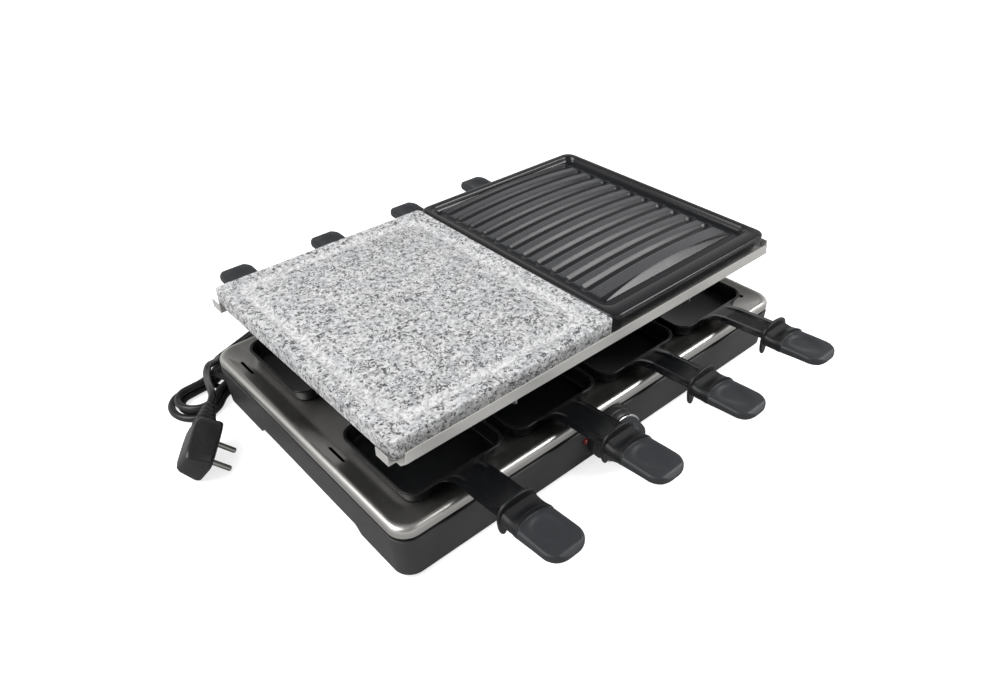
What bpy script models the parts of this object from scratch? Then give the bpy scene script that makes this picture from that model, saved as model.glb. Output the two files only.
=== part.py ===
"""A raclette grill for eight pans: a moulded base with a shallow steel tray, two sheet supports that carry a heating
element and a steel frame, and on the frame a granite stone and a ribbed cast plate. Metres, +Z up. The origin is on
the table, under the middle of the base. +X is the long side, with the stone at -X, and the knob is on the -Y side."""

import math

import bmesh
import bpy
from mathutils import Matrix, Vector

# Fits and sheet thicknesses that many pieces share
GAP = 0.0003
OVERRUN = 0.002
SHEET = 0.0008
CORNER_STEPS = 4
FULL_TURN = math.radians(360)

# Cooking top
TOP_LENGTH = 0.426
TOP_DEPTH = 0.264
STONE_LENGTH = 0.2153
STONE_THICKNESS = 0.0165
TOP_JOINT = 0.0006
STONE_CORNER = 0.004
STONE_BEVEL = 0.0011
GROOVE_INSET = 0.0165
GROOVE_WIDTH = 0.010
GROOVE_DEPTH = 0.0022
GROOVE_CORNER = 0.016
PLATE_CORNER = 0.010
PLATE_EDGE = 0.0016
PLATE_RIM = 0.0045
PLATE_RIM_BACK = 0.0054
PLATE_RIM_FRONT = 0.0119
PLATE_POOL_DEPTH = 0.0055
PLATE_POOL_SLOPE = 0.003
PLATE_FLOOR = 0.0048
PLATE_UNDER_RIM = 0.012

# Ribbed platform of the cast plate
RIB_PITCH = 0.0191
RIB_FRONT_WIDTH = 0.0145
RIB_GROOVE_WIDTH = 0.0078
RIB_GROOVE_DEPTH = 0.0032
RIB_CROWN = 0.0046
RIB_END_RISE = 0.0007
RIB_END_CLEARANCE = 0.0075
RIB_BACK_CLEARANCE = 0.0035
RIB_FRONT_TROUGH = 0.0095
RIB_FRONT_RUN = 0.0078
RIB_BACK_RUN = 0.0015

# Steel frame under the cooking top
FRAME_FLOOR_Z = 0.1081
FLANGE_CLEARANCE = 0.0065
FLANGE_END_INSET = 0.006
FLANGE_HEIGHT = 0.0098
FRAME_LEDGE = 0.0150
FRAME_END_INSET = 0.0022
FRAME_STRIP = 0.020
TAB_REACH = 0.0062
TAB_WIDTH = 0.0146
TAB_HEIGHT = 0.0078

# Moulded base
BASE_LENGTH = 0.451
BASE_DEPTH = 0.2948
BASE_CORNER = 0.017
BASE_DRAFT = 0.0020
BASE_EDGE = 0.0012
BASE_WALL = 0.0025
FOOT_STANDOUT = 0.0055
SKIRT_HEIGHT = 0.0379
LIP_INSET = 0.0055
LIP_HEIGHT = 0.0032
LIP_WIDTH = 0.0032
LIP_DROP = 0.0060
ARCH_RISE = 0.0067
ARCH_FRONT_Y = -0.078
ARCH_BACK_Y = 0.067
ARCH_EASE = 0.009
ARCH_STEPS = 6

# Steel tray
TRAY_EDGE_INSET = 0.0006
TRAY_BEAD_INSET = 0.0048
TRAY_RIM_HEIGHT = 0.0083
TRAY_SLOPE_X = 0.0150
TRAY_SLOPE_Y = 0.0181
TRAY_CORNER = 0.016
TRAY_SLOT_LENGTH = 0.023
TRAY_SLOT_WIDTH = 0.0032
TRAY_SLOT_NEAR_Y = 0.040
TRAY_SLOT_FAR_Y = 0.110

# Bottom cover, its screws and the feet
COVER_RECESS = 0.0030
COVER_THICKNESS = 0.0015
COVER_CLEARANCE = 0.0006
BOSS_END_INSET = 0.1055
BOSS_RADIUS = 0.0045
BOSS_INSET = 0.0103
SCREW_HEAD_RADIUS = 0.0032
SCREW_HEAD_HEIGHT = 0.0018
SCREW_SHANK_RADIUS = 0.0015
SCREW_SHANK_LENGTH = 0.010
FOOT_RADIUS = 0.011
FOOT_TAPER = 0.0015
FOOT_END_INSET = 0.0315
FOOT_SIDE_INSET = 0.0304
FOOT_STEM_RADIUS = 0.003
FOOT_BUTTON_RADIUS = 0.0045
FOOT_BUTTON_HEIGHT = 0.002

# Supports and heating element
SUPPORT_SHEET = 0.0012
SUPPORT_ARM_HEIGHT = 0.0138
SUPPORT_ARM_TAPER = 0.0015
SUPPORT_LEG_HALF = 0.022
SUPPORT_FOOT = 0.009
SUPPORT_FILLET = 0.008
HEATER_RADIUS = 0.00325
HEATER_HOLE_CLEARANCE = 0.0004
HEATER_BELOW_FRAME = 0.0074
HEATER_OUTER_Y = 0.094
HEATER_INNER_Y = 0.036
HEATER_REACH = 0.190
HEATER_BEND = 0.020
HEATER_TAIL_Y = 0.0135
HEATER_TAIL_X = 0.0
TRAY_TAIL_HOLE = 0.0050
TERMINAL_LENGTH = 0.034
TERMINAL_DEPTH = 0.046
TERMINAL_HEIGHT = 0.020
TERMINAL_EDGE = 0.0015

# Pans
PANS_PER_SIDE = 4
PAN_PITCH = 0.103
PAN_WIDTH = 0.0952
PAN_LENGTH = 0.0986
PAN_FROM_MIDDLE = 0.0291
PAN_HEIGHT = 0.0146
PAN_LIP = 0.0024
PAN_DRAFT = 0.0022
PAN_CORNER = 0.0135
PAN_FOOT_RADIUS = 0.0016
NECK_WIDTH = 0.0314
NECK_FILLET = 0.010
NECK_RIB_HEIGHT = 0.0012
TANG_WIDTH = 0.018
TANG_LENGTH = 0.027
TANG_Z = 0.0697
NECK_FOOT_Z = 0.0636
NECK_KNEE_Y = 0.1440
NECK_KNEE_Z = 0.0664

# Handle of a pan
GUARD_Y = 0.1908
GUARD_SHEET = 0.0026
GUARD_HALF = 0.0180
GUARD_TOP_Z = 0.0822
GUARD_SIDE_Z = 0.0700
GUARD_TIP_Z = 0.0522
GUARD_TIP_WIDTH = 0.0081
HANDLE_END_Y = 0.2456
HANDLE_WIDTH = 0.0350
HANDLE_COLLAR_WIDTH = 0.0338
HANDLE_UNDER_Z = 0.0618
HANDLE_LIFT = 0.0022
HANDLE_COLLAR_Z = 0.0748
HANDLE_VALLEY = 0.0010
RIDGE_Y = 0.2030
RIDGE_BOW = 0.0046
RIDGE_TOP_Z = 0.0766
GRIP_TOP_Z = 0.0730
GRIP_HOLLOW = 0.0020
GRIP_RISE = 0.0012
RIDGE_DOME = 0.0023
GRIP_END_Z = 0.0668
HANDLE_SCREW_FROM_GUARD = 0.0182
HANDLE_SCREW_HEAD = 0.0029
HANDLE_SCREW_SINK = 0.0016

# Thermostat, its knob and the lamp
KNOB_X = -0.0129
KNOB_Z = 0.0263
SEAT_RADIUS = 0.0158
SEAT_STANDOUT = 0.0004
BEZEL_RADIUS = 0.0246
BEZEL_DEPTH = 0.0066
BEZEL_CONE_DEPTH = 0.0058
BEZEL_CONE_RADIUS = 0.0230
BEZEL_WALL = 0.0022
KNOB_RING_RADIUS = 0.0228
KNOB_RING_HEIGHT = 0.0012
KNOB_RADIUS = 0.0212
KNOB_TIP_RADIUS = 0.0180
KNOB_HEIGHT = 0.0145
KNOB_GRIP_WIDTH = 0.0098
KNOB_DISH = 0.0038
SHAFT_RADIUS = 0.003
SHAFT_BORE_CLEARANCE = 0.0003
BUSH_RADIUS = 0.0048
THERMOSTAT_SIDE = 0.024
THERMOSTAT_DEPTH = 0.020
LAMP_X = -0.0412
LAMP_Z = 0.0302
LAMP_RADIUS = 0.0025
LAMP_FLANGE = 0.0008
LAMP_DOME = 0.0018
LAMP_BODY_RADIUS = 0.0045
LAMP_BODY_LENGTH = 0.014

# Mains lead
CORD_DIAMETER = 0.0067
GLAND_X = -0.095
GLAND_Z = 0.0170
GLAND_LENGTH = 0.025
GLAND_ROOT_RADIUS = 0.0075
GLAND_TIP_RADIUS = 0.0046
GLAND_COLLAR_RADIUS = 0.0090
GLAND_COLLAR_HEIGHT = 0.0025
GLAND_GROOVES = 3
GLAND_GROOVE_DEPTH = 0.0007

HANK_MIDDLE = (-0.1970, 0.1727)
HANK_TURN_DEGREES = 20.0
HANK_LOOPS = 3
HANK_RUN_POINTS = 5
HANK_FOLD_POINTS = 7
HANK_HALF_RUN = 0.0495
HANK_FOLD_RADIUS = 0.0285
HANK_STEP = 0.0084
HANK_LAYER = 0.0073
HANK_DRAW = 0.0120
HANK_WAIST = 0.026
HANK_START_SHARE = 0.20
HANK_LAST_POINT = 69
TIE_FROM_MIDDLE = -0.0256
TIE_WIDTH = 0.006
TIE_SHEET = 0.0008
TIE_ACROSS = 0.0318
TIE_SIDE_SHIFT = -0.0033

PLUG_MIDDLE = (-0.2709, 0.0692, 0.0149)
PLUG_ALONG = (-0.625, -0.761, -0.165)
PLUG_OUT = (0.663, -0.417, -0.622)
PLUG_LENGTH = 0.047
PLUG_THICKNESS = 0.034
PLUG_DEPTH = 0.023
PLUG_EDGE = 0.0022
BOOT_LENGTH = 0.024
BOOT_BEHIND_FACE = 0.013
BOOT_ROOT_HALF = 0.0090
BOOT_TIP_RADIUS = 0.0050
PIN_SPACING = 0.019
PIN_LENGTH = 0.019
PIN_RADIUS = 0.0024
PIN_ROUND = 0.0008
PIN_SOCKET_DEPTH = 0.006

# Routes of the lead's free stretches, chosen by hand
LEAD_ROUTE = (
    (-0.0980, 0.1930, 0.0135),
    (-0.1070, 0.2060, 0.0075),
    (-0.1220, 0.2165, 0.0040),
    (-0.1410, 0.2215, 0.0035),
    (-0.1610, 0.2205, 0.0035),
    (-0.1800, 0.2145, 0.0035),
    (-0.1960, 0.2050, 0.0035),
    (-0.2100, 0.1950, 0.0035),
    (-0.2210, 0.1860, 0.0037),
)
TAIL_ROUTE = (
    (-0.2128, 0.1875, 0.0150),
    (-0.2230, 0.1780, 0.0206),
    (-0.2305, 0.1650, 0.0222),
    (-0.2350, 0.1510, 0.0250),
    (-0.2390, 0.1370, 0.0290),
)

# Levels and reaches that follow from the sizes above
SKIRT_TOP_Z = FOOT_STANDOUT + SKIRT_HEIGHT
LIP_TOP_Z = SKIRT_TOP_Z + LIP_HEIGHT
TRAY_EDGE_Z = LIP_TOP_Z + GAP
TRAY_BEAD_Z = TRAY_EDGE_Z + TRAY_RIM_HEIGHT
TRAY_FLOOR_Z = TRAY_EDGE_Z
FRAME_TOP_Z = FRAME_FLOOR_Z + SHEET
TOP_UNDER_Z = FRAME_TOP_Z + GAP
TOP_Z = TOP_UNDER_Z + STONE_THICKNESS
PAN_UNDER_Z = TRAY_FLOOR_Z + GAP
PAN_LIP_Z = PAN_UNDER_Z + PAN_HEIGHT
PAN_Y = -(PAN_FROM_MIDDLE + PAN_LENGTH / 2)
COVER_UNDER_Z = FOOT_STANDOUT + COVER_RECESS
COVER_TOP_Z = COVER_UNDER_Z + COVER_THICKNESS
BASE_FRONT_Y = -BASE_DEPTH / 2
HANDLE_SCREW_Y = GUARD_Y + HANDLE_SCREW_FROM_GUARD
SUPPORT_X = PAN_PITCH
SUPPORT_ARM_REACH = TOP_DEPTH / 2
FLANGE_SPREAD = TOP_DEPTH / 2 + FLANGE_CLEARANCE
FLANGE_LENGTH = TOP_LENGTH - 2 * FLANGE_END_INSET
BOSS_X = BASE_LENGTH / 2 - BOSS_END_INSET
FOOT_X = BASE_LENGTH / 2 - FOOT_END_INSET
FOOT_Y = BASE_DEPTH / 2 - FOOT_SIDE_INSET
HEATER_Z = FRAME_FLOOR_Z - HEATER_BELOW_FRAME
CORD_RADIUS = CORD_DIAMETER / 2
BEZEL_BACK_Y = BASE_FRONT_Y - SEAT_STANDOUT - GAP


def clear_scene():
    for obj in list(bpy.data.objects):
        bpy.data.objects.remove(obj, do_unlink=True)


clear_scene()
PARTS = bpy.data.collections.new("raclette_grill")
CUTTERS = bpy.data.collections.new("cutters")
bpy.context.scene.collection.children.link(PARTS)
bpy.context.scene.collection.children.link(CUTTERS)


def material(name, colour, roughness, metallic=0.0, alpha=1.0):
    made = bpy.data.materials.new(name)
    made.use_nodes = True
    shader = made.node_tree.nodes["Principled BSDF"]
    shader.inputs["Base Color"].default_value = (*colour, 1.0)
    shader.inputs["Roughness"].default_value = roughness
    shader.inputs["Metallic"].default_value = metallic
    shader.inputs["Alpha"].default_value = alpha
    made.diffuse_color = (*colour, alpha)
    return made


GRANITE = material("granite", (0.55, 0.55, 0.55), 0.5)
CAST_PLATE = material("nonstick_cast_plate", (0.05, 0.05, 0.055), 0.35)
STAINLESS = material("stainless_sheet", (0.72, 0.71, 0.69), 0.25, 1.0)
CHROME = material("chrome", (0.85, 0.85, 0.86), 0.08, 1.0)
HEATER_STEEL = material("heater_sheath", (0.28, 0.27, 0.26), 0.45, 1.0)
PAN_COATING = material("nonstick_pan", (0.035, 0.036, 0.04), 0.4)
BASE_PLASTIC = material("base_plastic", (0.045, 0.045, 0.048), 0.5)
HANDLE_PLASTIC = material("handle_plastic", (0.04, 0.042, 0.047), 0.5)
RUBBER = material("rubber", (0.03, 0.03, 0.03), 0.8)
CORD_PLASTIC = material("cord_plastic", (0.025, 0.025, 0.027), 0.5)
LENS_RED = material("lens_red", (0.6, 0.08, 0.08), 0.2, 0.0, 0.8)
SCREW_STEEL = material("screw_steel", (0.5, 0.5, 0.5), 0.35, 1.0)
CERAMIC = material("terminal_ceramic", (0.75, 0.73, 0.68), 0.6)


def place(obj, finish=None, collection=None):
    """Puts a new object in its collection and gives it its finish."""
    for old in list(obj.users_collection):
        old.objects.unlink(obj)
    (collection or PARTS).objects.link(obj)
    if finish:
        obj.data.materials.clear()
        obj.data.materials.append(finish)
    return obj


def hide(obj):
    """A cutter or a joined helper, which isn't a part of its own."""
    place(obj, None, CUTTERS)
    obj.hide_render = True
    obj.display_type = "WIRE"
    return obj


def object_of(name, shape, finish=None):
    """A new object from a bmesh, with its faces turned outwards."""
    bmesh.ops.recalc_face_normals(shape, faces=shape.faces)
    mesh = bpy.data.meshes.new(name)
    shape.to_mesh(mesh)
    shape.free()
    return place(bpy.data.objects.new(name, mesh), finish)


def smooth(obj, degrees=35):
    obj.data.shade_smooth()
    obj.data.set_sharp_from_angle(angle=math.radians(degrees))
    return obj


def evaluated_mesh(obj):
    """The mesh that the object's modifiers or its bevel make, with doubled points merged."""
    graph = bpy.context.evaluated_depsgraph_get()
    mesh = bpy.data.meshes.new_from_object(obj.evaluated_get(graph))
    shape = bmesh.new()
    shape.from_mesh(mesh)
    bmesh.ops.remove_doubles(shape, verts=shape.verts, dist=GAP / 100)
    shape.to_mesh(mesh)
    shape.free()
    return mesh


def settle(obj):
    """Replaces the object by a plain mesh of what it shows, in the same place."""
    name = obj.name
    collection = obj.users_collection[0]
    finish = obj.data.materials[0] if obj.data.materials else None
    bpy.context.view_layer.update()
    mesh = evaluated_mesh(obj)
    place_in_world = obj.matrix_world.copy()
    bpy.data.objects.remove(obj, do_unlink=True)
    made = bpy.data.objects.new(name, mesh)
    place(made, finish, collection)
    made.matrix_world = place_in_world
    return made


def combine(obj, operation, others):
    """Joins or cuts with other objects, settles the result and removes those objects."""
    for other in others:
        hide(other)
        modifier = obj.modifiers.new(operation.lower(), "BOOLEAN")
        modifier.operation = operation
        modifier.object = other
    made = settle(obj)
    for other in others:
        bpy.data.objects.remove(other, do_unlink=True)
    return made


def join(obj, *others):
    return combine(obj, "UNION", others)


def cut(obj, *others):
    return combine(obj, "DIFFERENCE", others)


def box(name, low, high, finish=None, edge=0.0):
    """A box between two corners, its upright edges rounded where edge isn't zero."""
    low, high = Vector(low), Vector(high)
    shape = bmesh.new()
    bmesh.ops.create_cube(shape, size=1.0)
    bmesh.ops.scale(shape, vec=high - low, verts=shape.verts)
    bmesh.ops.translate(shape, vec=(low + high) / 2, verts=shape.verts)
    if edge:
        bmesh.ops.bevel(shape, geom=shape.edges, offset=edge, segments=2, profile=0.5, affect="EDGES", material=-1)
    return object_of(name, shape, finish)


def rounded_rectangle(half_x, half_y, radius, z, steps=CORNER_STEPS):
    """Points round a rounded rectangle at height z, anticlockwise from above."""
    points = []
    for corner, (side_x, side_y) in enumerate(((1, 1), (-1, 1), (-1, -1), (1, -1))):
        centre = Vector((side_x * (half_x - radius), side_y * (half_y - radius), z))
        for step in range(steps + 1):
            angle = (corner + step / steps) * FULL_TURN / 4
            points.append(centre + radius * Vector((math.cos(angle), math.sin(angle), 0)))
    return points


def loft(name, rings, finish=None, closed=False):
    """A solid through rings of equally many points: capped at both ends, or closed into a ring of its own."""
    shape = bmesh.new()
    rows = [[shape.verts.new(point) for point in ring] for ring in rings]
    count = len(rows[0])
    pairs = list(zip(rows, rows[1:] + rows[:1] if closed else rows[1:]))
    for lower, upper in pairs:
        for i in range(count):
            j = (i + 1) % count
            shape.faces.new((lower[i], lower[j], upper[j], upper[i]))
    if not closed:
        shape.faces.new(list(reversed(rows[0])))
        shape.faces.new(rows[-1])
    return object_of(name, shape, finish)


def skin(name, rows, thickness, finish=None, cap_last=False, ring=False):
    """A sheet of one thickness below an open surface through rows of points."""
    shape = bmesh.new()
    lines = [[shape.verts.new(point) for point in row] for row in rows]
    count = len(lines[0])
    for near, far in zip(lines, lines[1:]):
        for i in range(count if ring else count - 1):
            j = (i + 1) % count
            shape.faces.new((near[i], near[j], far[j], far[i]))
    if cap_last:
        shape.faces.new(lines[-1])
    bmesh.ops.recalc_face_normals(shape, faces=shape.faces)
    mesh = bpy.data.meshes.new(name)
    shape.to_mesh(mesh)
    up = sum(face.normal.z * face.area for face in mesh.polygons)
    shape.free()
    obj = place(bpy.data.objects.new(name, mesh), finish)
    if up < 0:
        mesh.flip_normals()
    wall = obj.modifiers.new("wall", "SOLIDIFY")
    wall.thickness = thickness
    wall.offset = -1.0
    wall.use_even_offset = True
    return settle(obj)


def turned(name, profile, finish=None, steps=20, ring=False):
    """A turned shape about Z. The profile runs down its outer side, and a ring's profile closes on itself."""
    shape = bmesh.new()
    points = [shape.verts.new((radius, 0, z)) for radius, z in profile]
    for a, b in zip(points, points[1:] + points[:1] if ring else points[1:]):
        shape.edges.new((a, b))
    mesh = bpy.data.meshes.new(name)
    shape.to_mesh(mesh)
    shape.free()
    obj = place(bpy.data.objects.new(name, mesh), finish)
    screw = obj.modifiers.new("turn", "SCREW")
    screw.steps = steps
    screw.render_steps = steps
    screw.use_merge_vertices = True
    screw.merge_threshold = GAP / 100
    return obj


def facing(obj, direction, place_at):
    """Turns a shape made about Z so that its +Z points along direction, and puts its origin there."""
    turn = Vector((0, 0, 1)).rotation_difference(Vector(direction)).to_matrix().to_4x4()
    obj.matrix_world = Matrix.Translation(place_at) @ turn
    return obj


def plate_outline(name, outlines, thickness, finish=None):
    """A flat plate in XY, round its middle plane, from closed outlines of which the inner ones are holes."""
    curve = bpy.data.curves.new(name, "CURVE")
    curve.dimensions = "2D"
    curve.fill_mode = "BOTH"
    curve.extrude = thickness / 2
    for outline in outlines:
        spline = curve.splines.new("POLY")
        spline.points.add(len(outline) - 1)
        for point, (x, y) in zip(spline.points, outline):
            point.co = (x, y, 0, 1)
        spline.use_cyclic_u = True
    return place(bpy.data.objects.new(name, curve), finish)


def circle(centre_x, centre_y, radius, steps=16):
    turns = (step / steps * FULL_TURN for step in range(steps))
    return [(centre_x + radius * math.cos(a), centre_y + radius * math.sin(a)) for a in turns]


def tube(name, points, radius, finish=None, resolution=2):
    """A round bar along points, with filled ends."""
    curve = bpy.data.curves.new(name, "CURVE")
    curve.dimensions = "3D"
    curve.bevel_depth = radius
    curve.bevel_resolution = resolution
    curve.use_fill_caps = True
    spline = curve.splines.new("POLY")
    spline.points.add(len(points) - 1)
    for point, place_at in zip(spline.points, points):
        point.co = (*place_at, 1)
    return place(bpy.data.objects.new(name, curve), finish)


def rounded_path(corners, radius, steps=5):
    """A path through corners, each turned in an arc of the radius."""
    corners = [Vector(corner) for corner in corners]
    path = [corners[0]]
    for before, corner, after in zip(corners, corners[1:], corners[2:]):
        back, ahead = (before - corner).normalized(), (after - corner).normalized()
        half = back.angle(ahead) / 2
        middle = corner + (back + ahead).normalized() * radius / math.sin(half)
        start = (corner + back * radius / math.tan(half) - middle).normalized()
        end = (corner + ahead * radius / math.tan(half) - middle).normalized()
        for step in range(steps + 1):
            path.append(middle + start.slerp(end, step / steps) * radius)
    path.append(corners[-1])
    return path


def heading(before, point, after):
    """The direction of a smooth curve at a point between two others, whatever their distances."""
    back, ahead = point - before, after - point
    to_back, to_ahead = back.length, ahead.length
    return (back / to_back * to_ahead + ahead / to_ahead * to_back) / (to_back + to_ahead)


def smooth_route(points, spacing):
    """Evenly spaced points on a smooth curve through the route's own points, whose first and last stay straight."""
    points = [Vector(point) for point in points]
    fine = []
    parts = 12
    for a, b, c, d in zip(points, points[1:], points[2:], points[3:]):
        chord = (c - b).length
        leave, arrive = heading(a, b, c) * chord, heading(b, c, d) * chord
        for part in range(parts):
            t = part / parts
            fine.append(
                b * (2 * t**3 - 3 * t**2 + 1) + c * (3 * t**2 - 2 * t**3)
                + leave * (t**3 - 2 * t**2 + t) + arrive * (t**3 - t**2)
            )
    fine.append(points[-2])
    lengths = [0.0]
    for a, b in zip(fine, fine[1:]):
        lengths.append(lengths[-1] + (b - a).length)
    count = max(2, round(lengths[-1] / spacing))
    route = [points[0]]
    k = 0
    for i in range(count + 1):
        wanted = lengths[-1] * i / count
        while k < len(fine) - 2 and lengths[k + 1] < wanted:
            k += 1
        share = (wanted - lengths[k]) / (lengths[k + 1] - lengths[k])
        route.append(fine[k].lerp(fine[k + 1], share))
    return [*route, points[-1]]


def length_of(points):
    return sum((b - a).length for a, b in zip(points, points[1:]))


# Cooking top


def granite_stone():
    """The stone: a slab with eased edges and a juice groove all round its top."""
    half_x, half_y = STONE_LENGTH / 2, TOP_DEPTH / 2
    lane = GROOVE_INSET - GROOVE_WIDTH / 2
    steps = (
        (STONE_BEVEL, 0),
        (0, STONE_BEVEL),
        (0, STONE_THICKNESS - STONE_BEVEL),
        (STONE_BEVEL, STONE_THICKNESS),
        (lane, STONE_THICKNESS),
        (lane + GROOVE_WIDTH / 4, STONE_THICKNESS - GROOVE_DEPTH),
        (lane + GROOVE_WIDTH * 3 / 4, STONE_THICKNESS - GROOVE_DEPTH),
        (lane + GROOVE_WIDTH, STONE_THICKNESS),
    )
    rings = []
    for inset, height in steps:
        corner = STONE_CORNER if inset < lane else GROOVE_CORNER
        rings.append(rounded_rectangle(half_x - inset, half_y - inset, corner, TOP_UNDER_Z + height))
    stone = smooth(loft("granite_stone", rings, GRANITE))
    stone.location.x = -TOP_LENGTH / 2 + half_x
    return stone


def rib_profile(front, back, height):
    """One section across the ribs: broad crowns with a narrow channel between each pair, and a long slope in front."""
    full = RIB_END_RISE + RIB_CROWN
    sink = PLATE_FLOOR / 3
    depth = max(min(RIB_GROOVE_DEPTH, height * 0.8), 0)
    half = RIB_GROOVE_WIDTH / 2
    points = [(front - RIB_FRONT_RUN * (height + sink) / full, -sink), (front, height)]
    middle = front + RIB_FRONT_WIDTH + half
    while middle + half < back:
        points += [(middle - half, height), (middle - half / 2, height - depth)]
        points += [(middle + half / 2, height - depth), (middle + half, height)]
        middle += RIB_PITCH
    points += [(back, height), (back + RIB_BACK_RUN * (height + sink) / full, -sink)]
    return points


def grill_plate():
    """The cast plate: rim, pool, hollow underside and the ribbed platform, crowned along its ribs."""
    low_x = -TOP_LENGTH / 2 + STONE_LENGTH + TOP_JOINT
    half_x, half_y = (TOP_LENGTH / 2 - low_x) / 2, TOP_DEPTH / 2
    pool_z = STONE_THICKNESS - PLATE_POOL_DEPTH
    front, back = PLATE_EDGE + PLATE_RIM_FRONT, PLATE_EDGE + PLATE_RIM_BACK
    shift = (front - back) / 2
    rim_x, rim_y = half_x - PLATE_EDGE - PLATE_RIM, half_y - (front + back) / 2
    slope = PLATE_POOL_SLOPE
    outer = (
        (PLATE_UNDER_RIM + PLATE_EDGE, pool_z - PLATE_FLOOR),
        (PLATE_UNDER_RIM, 0),
        (PLATE_EDGE, 0),
        (0, PLATE_EDGE),
        (0, STONE_THICKNESS - PLATE_EDGE),
        (PLATE_EDGE / 3, STONE_THICKNESS - PLATE_EDGE / 3),
        (PLATE_EDGE, STONE_THICKNESS),
    )
    pool = ((0, STONE_THICKNESS), (slope / 4, STONE_THICKNESS - PLATE_EDGE / 3), (slope, pool_z))
    rings = [
        rounded_rectangle(half_x - inset, half_y - inset, PLATE_CORNER, TOP_UNDER_Z + height)
        for inset, height in outer
    ]
    for inset, height in pool:
        ring = rounded_rectangle(rim_x - inset, rim_y - inset, PLATE_CORNER - inset / 2, TOP_UNDER_Z + height)
        rings.append([point + Vector((0, shift, 0)) for point in ring])
    plate = loft("grill_plate", rings, CAST_PLATE)
    plate.location.x = low_x + half_x
    reach = rim_x - slope - RIB_END_CLEARANCE
    foot_y = shift - rim_y + slope + RIB_FRONT_TROUGH
    back_y = shift + rim_y - slope - RIB_BACK_CLEARANCE
    ribs = []
    for share in (-1.0, -0.98, -0.92, -0.55, 0.0, 0.55, 0.92, 0.98, 1.0):
        height = RIB_END_RISE + RIB_CROWN * (1 - share * share)
        if abs(share) == 1:
            height = -PLATE_FLOOR / 6
        section = rib_profile(foot_y + RIB_FRONT_RUN, back_y, height)
        ribs.append([Vector((share * reach, y, TOP_UNDER_Z + pool_z + z)) for y, z in section])
    platform = loft("ribs", ribs)
    platform.location = plate.location
    return smooth(join(plate, platform), 28)


def top_frame():
    """The sheet frame: a floor with two openings, a flange along each long side and a turned-up tab by each corner."""
    half_x = TOP_LENGTH / 2 - FRAME_END_INSET
    half_y = FLANGE_SPREAD
    ledge_y = half_y - FRAME_LEDGE - (FLANGE_SPREAD - TOP_DEPTH / 2) / 2
    ledge_x = half_x - FRAME_LEDGE
    strip_low = -TOP_LENGTH / 2 + STONE_LENGTH - FRAME_STRIP / 2
    strip_high = strip_low + FRAME_STRIP
    corner = FLANGE_SPREAD - SHEET - OVERRUN / 4
    outer = [(half_x, corner), (FLANGE_LENGTH / 2, half_y), (-FLANGE_LENGTH / 2, half_y), (-half_x, corner)]
    outer += [(-x, -y) for x, y in outer]
    windows = []
    for low, high in ((-ledge_x, strip_low), (strip_high, ledge_x)):
        windows.append([(low, -ledge_y), (high, -ledge_y), (high, ledge_y), (low, ledge_y)])
    floor = plate_outline("top_frame", [outer, *windows], SHEET, STAINLESS)
    floor.location.z = FRAME_FLOOR_Z + SHEET / 2
    frame = settle(floor)
    added = []
    for side in (-1, 1):
        lows = sorted((side * (FLANGE_SPREAD - SHEET), side * FLANGE_SPREAD))
        low = (-FLANGE_LENGTH / 2, lows[0], FRAME_FLOOR_Z)
        added.append(box("flange", low, (FLANGE_LENGTH / 2, lows[1], FRAME_FLOOR_Z + FLANGE_HEIGHT)))
        for end in (-1, 1):
            near, far = sorted((side * (TOP_DEPTH / 2 - TAB_WIDTH), side * TOP_DEPTH / 2))
            foot = sorted((end * (half_x - OVERRUN), end * (half_x + TAB_REACH)))
            tip = sorted((end * (half_x + TAB_REACH - SHEET), end * (half_x + TAB_REACH)))
            added.append(box("tab_foot", (foot[0], near, FRAME_FLOOR_Z), (foot[1], far, FRAME_TOP_Z)))
            added.append(box("tab", (tip[0], near, FRAME_FLOOR_Z), (tip[1], far, FRAME_FLOOR_Z + TAB_HEIGHT)))
    return join(frame, *added)


# Base, cover and tray


def arch_cutter(end):
    """Cuts the raised bottom edge of a short side, which eases up in an S at each end."""
    low = -OVERRUN
    outline = [(ARCH_FRONT_Y - ARCH_EASE, low)]
    for start, ease in ((ARCH_FRONT_Y - ARCH_EASE, 1), (ARCH_BACK_Y, -1)):
        for step in range(ARCH_STEPS + 1):
            share = step / ARCH_STEPS
            rise = (1 - math.cos(math.pi * (share if ease > 0 else 1 - share))) / 2
            outline.append((start + share * ARCH_EASE, FOOT_STANDOUT + rise * ARCH_RISE))
    outline.append((ARCH_BACK_Y + ARCH_EASE, low))
    length = BASE_CORNER + OVERRUN
    cutter = plate_outline("arch", [outline], length)
    middle = end * (BASE_LENGTH / 2 - BASE_CORNER / 2 + OVERRUN / 2)
    upright = Matrix(((0, 0, 1), (1, 0, 0), (0, 1, 0))).to_4x4()
    cutter.matrix_world = Matrix.Translation((middle, 0, 0)) @ upright
    return settle(cutter)


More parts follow.
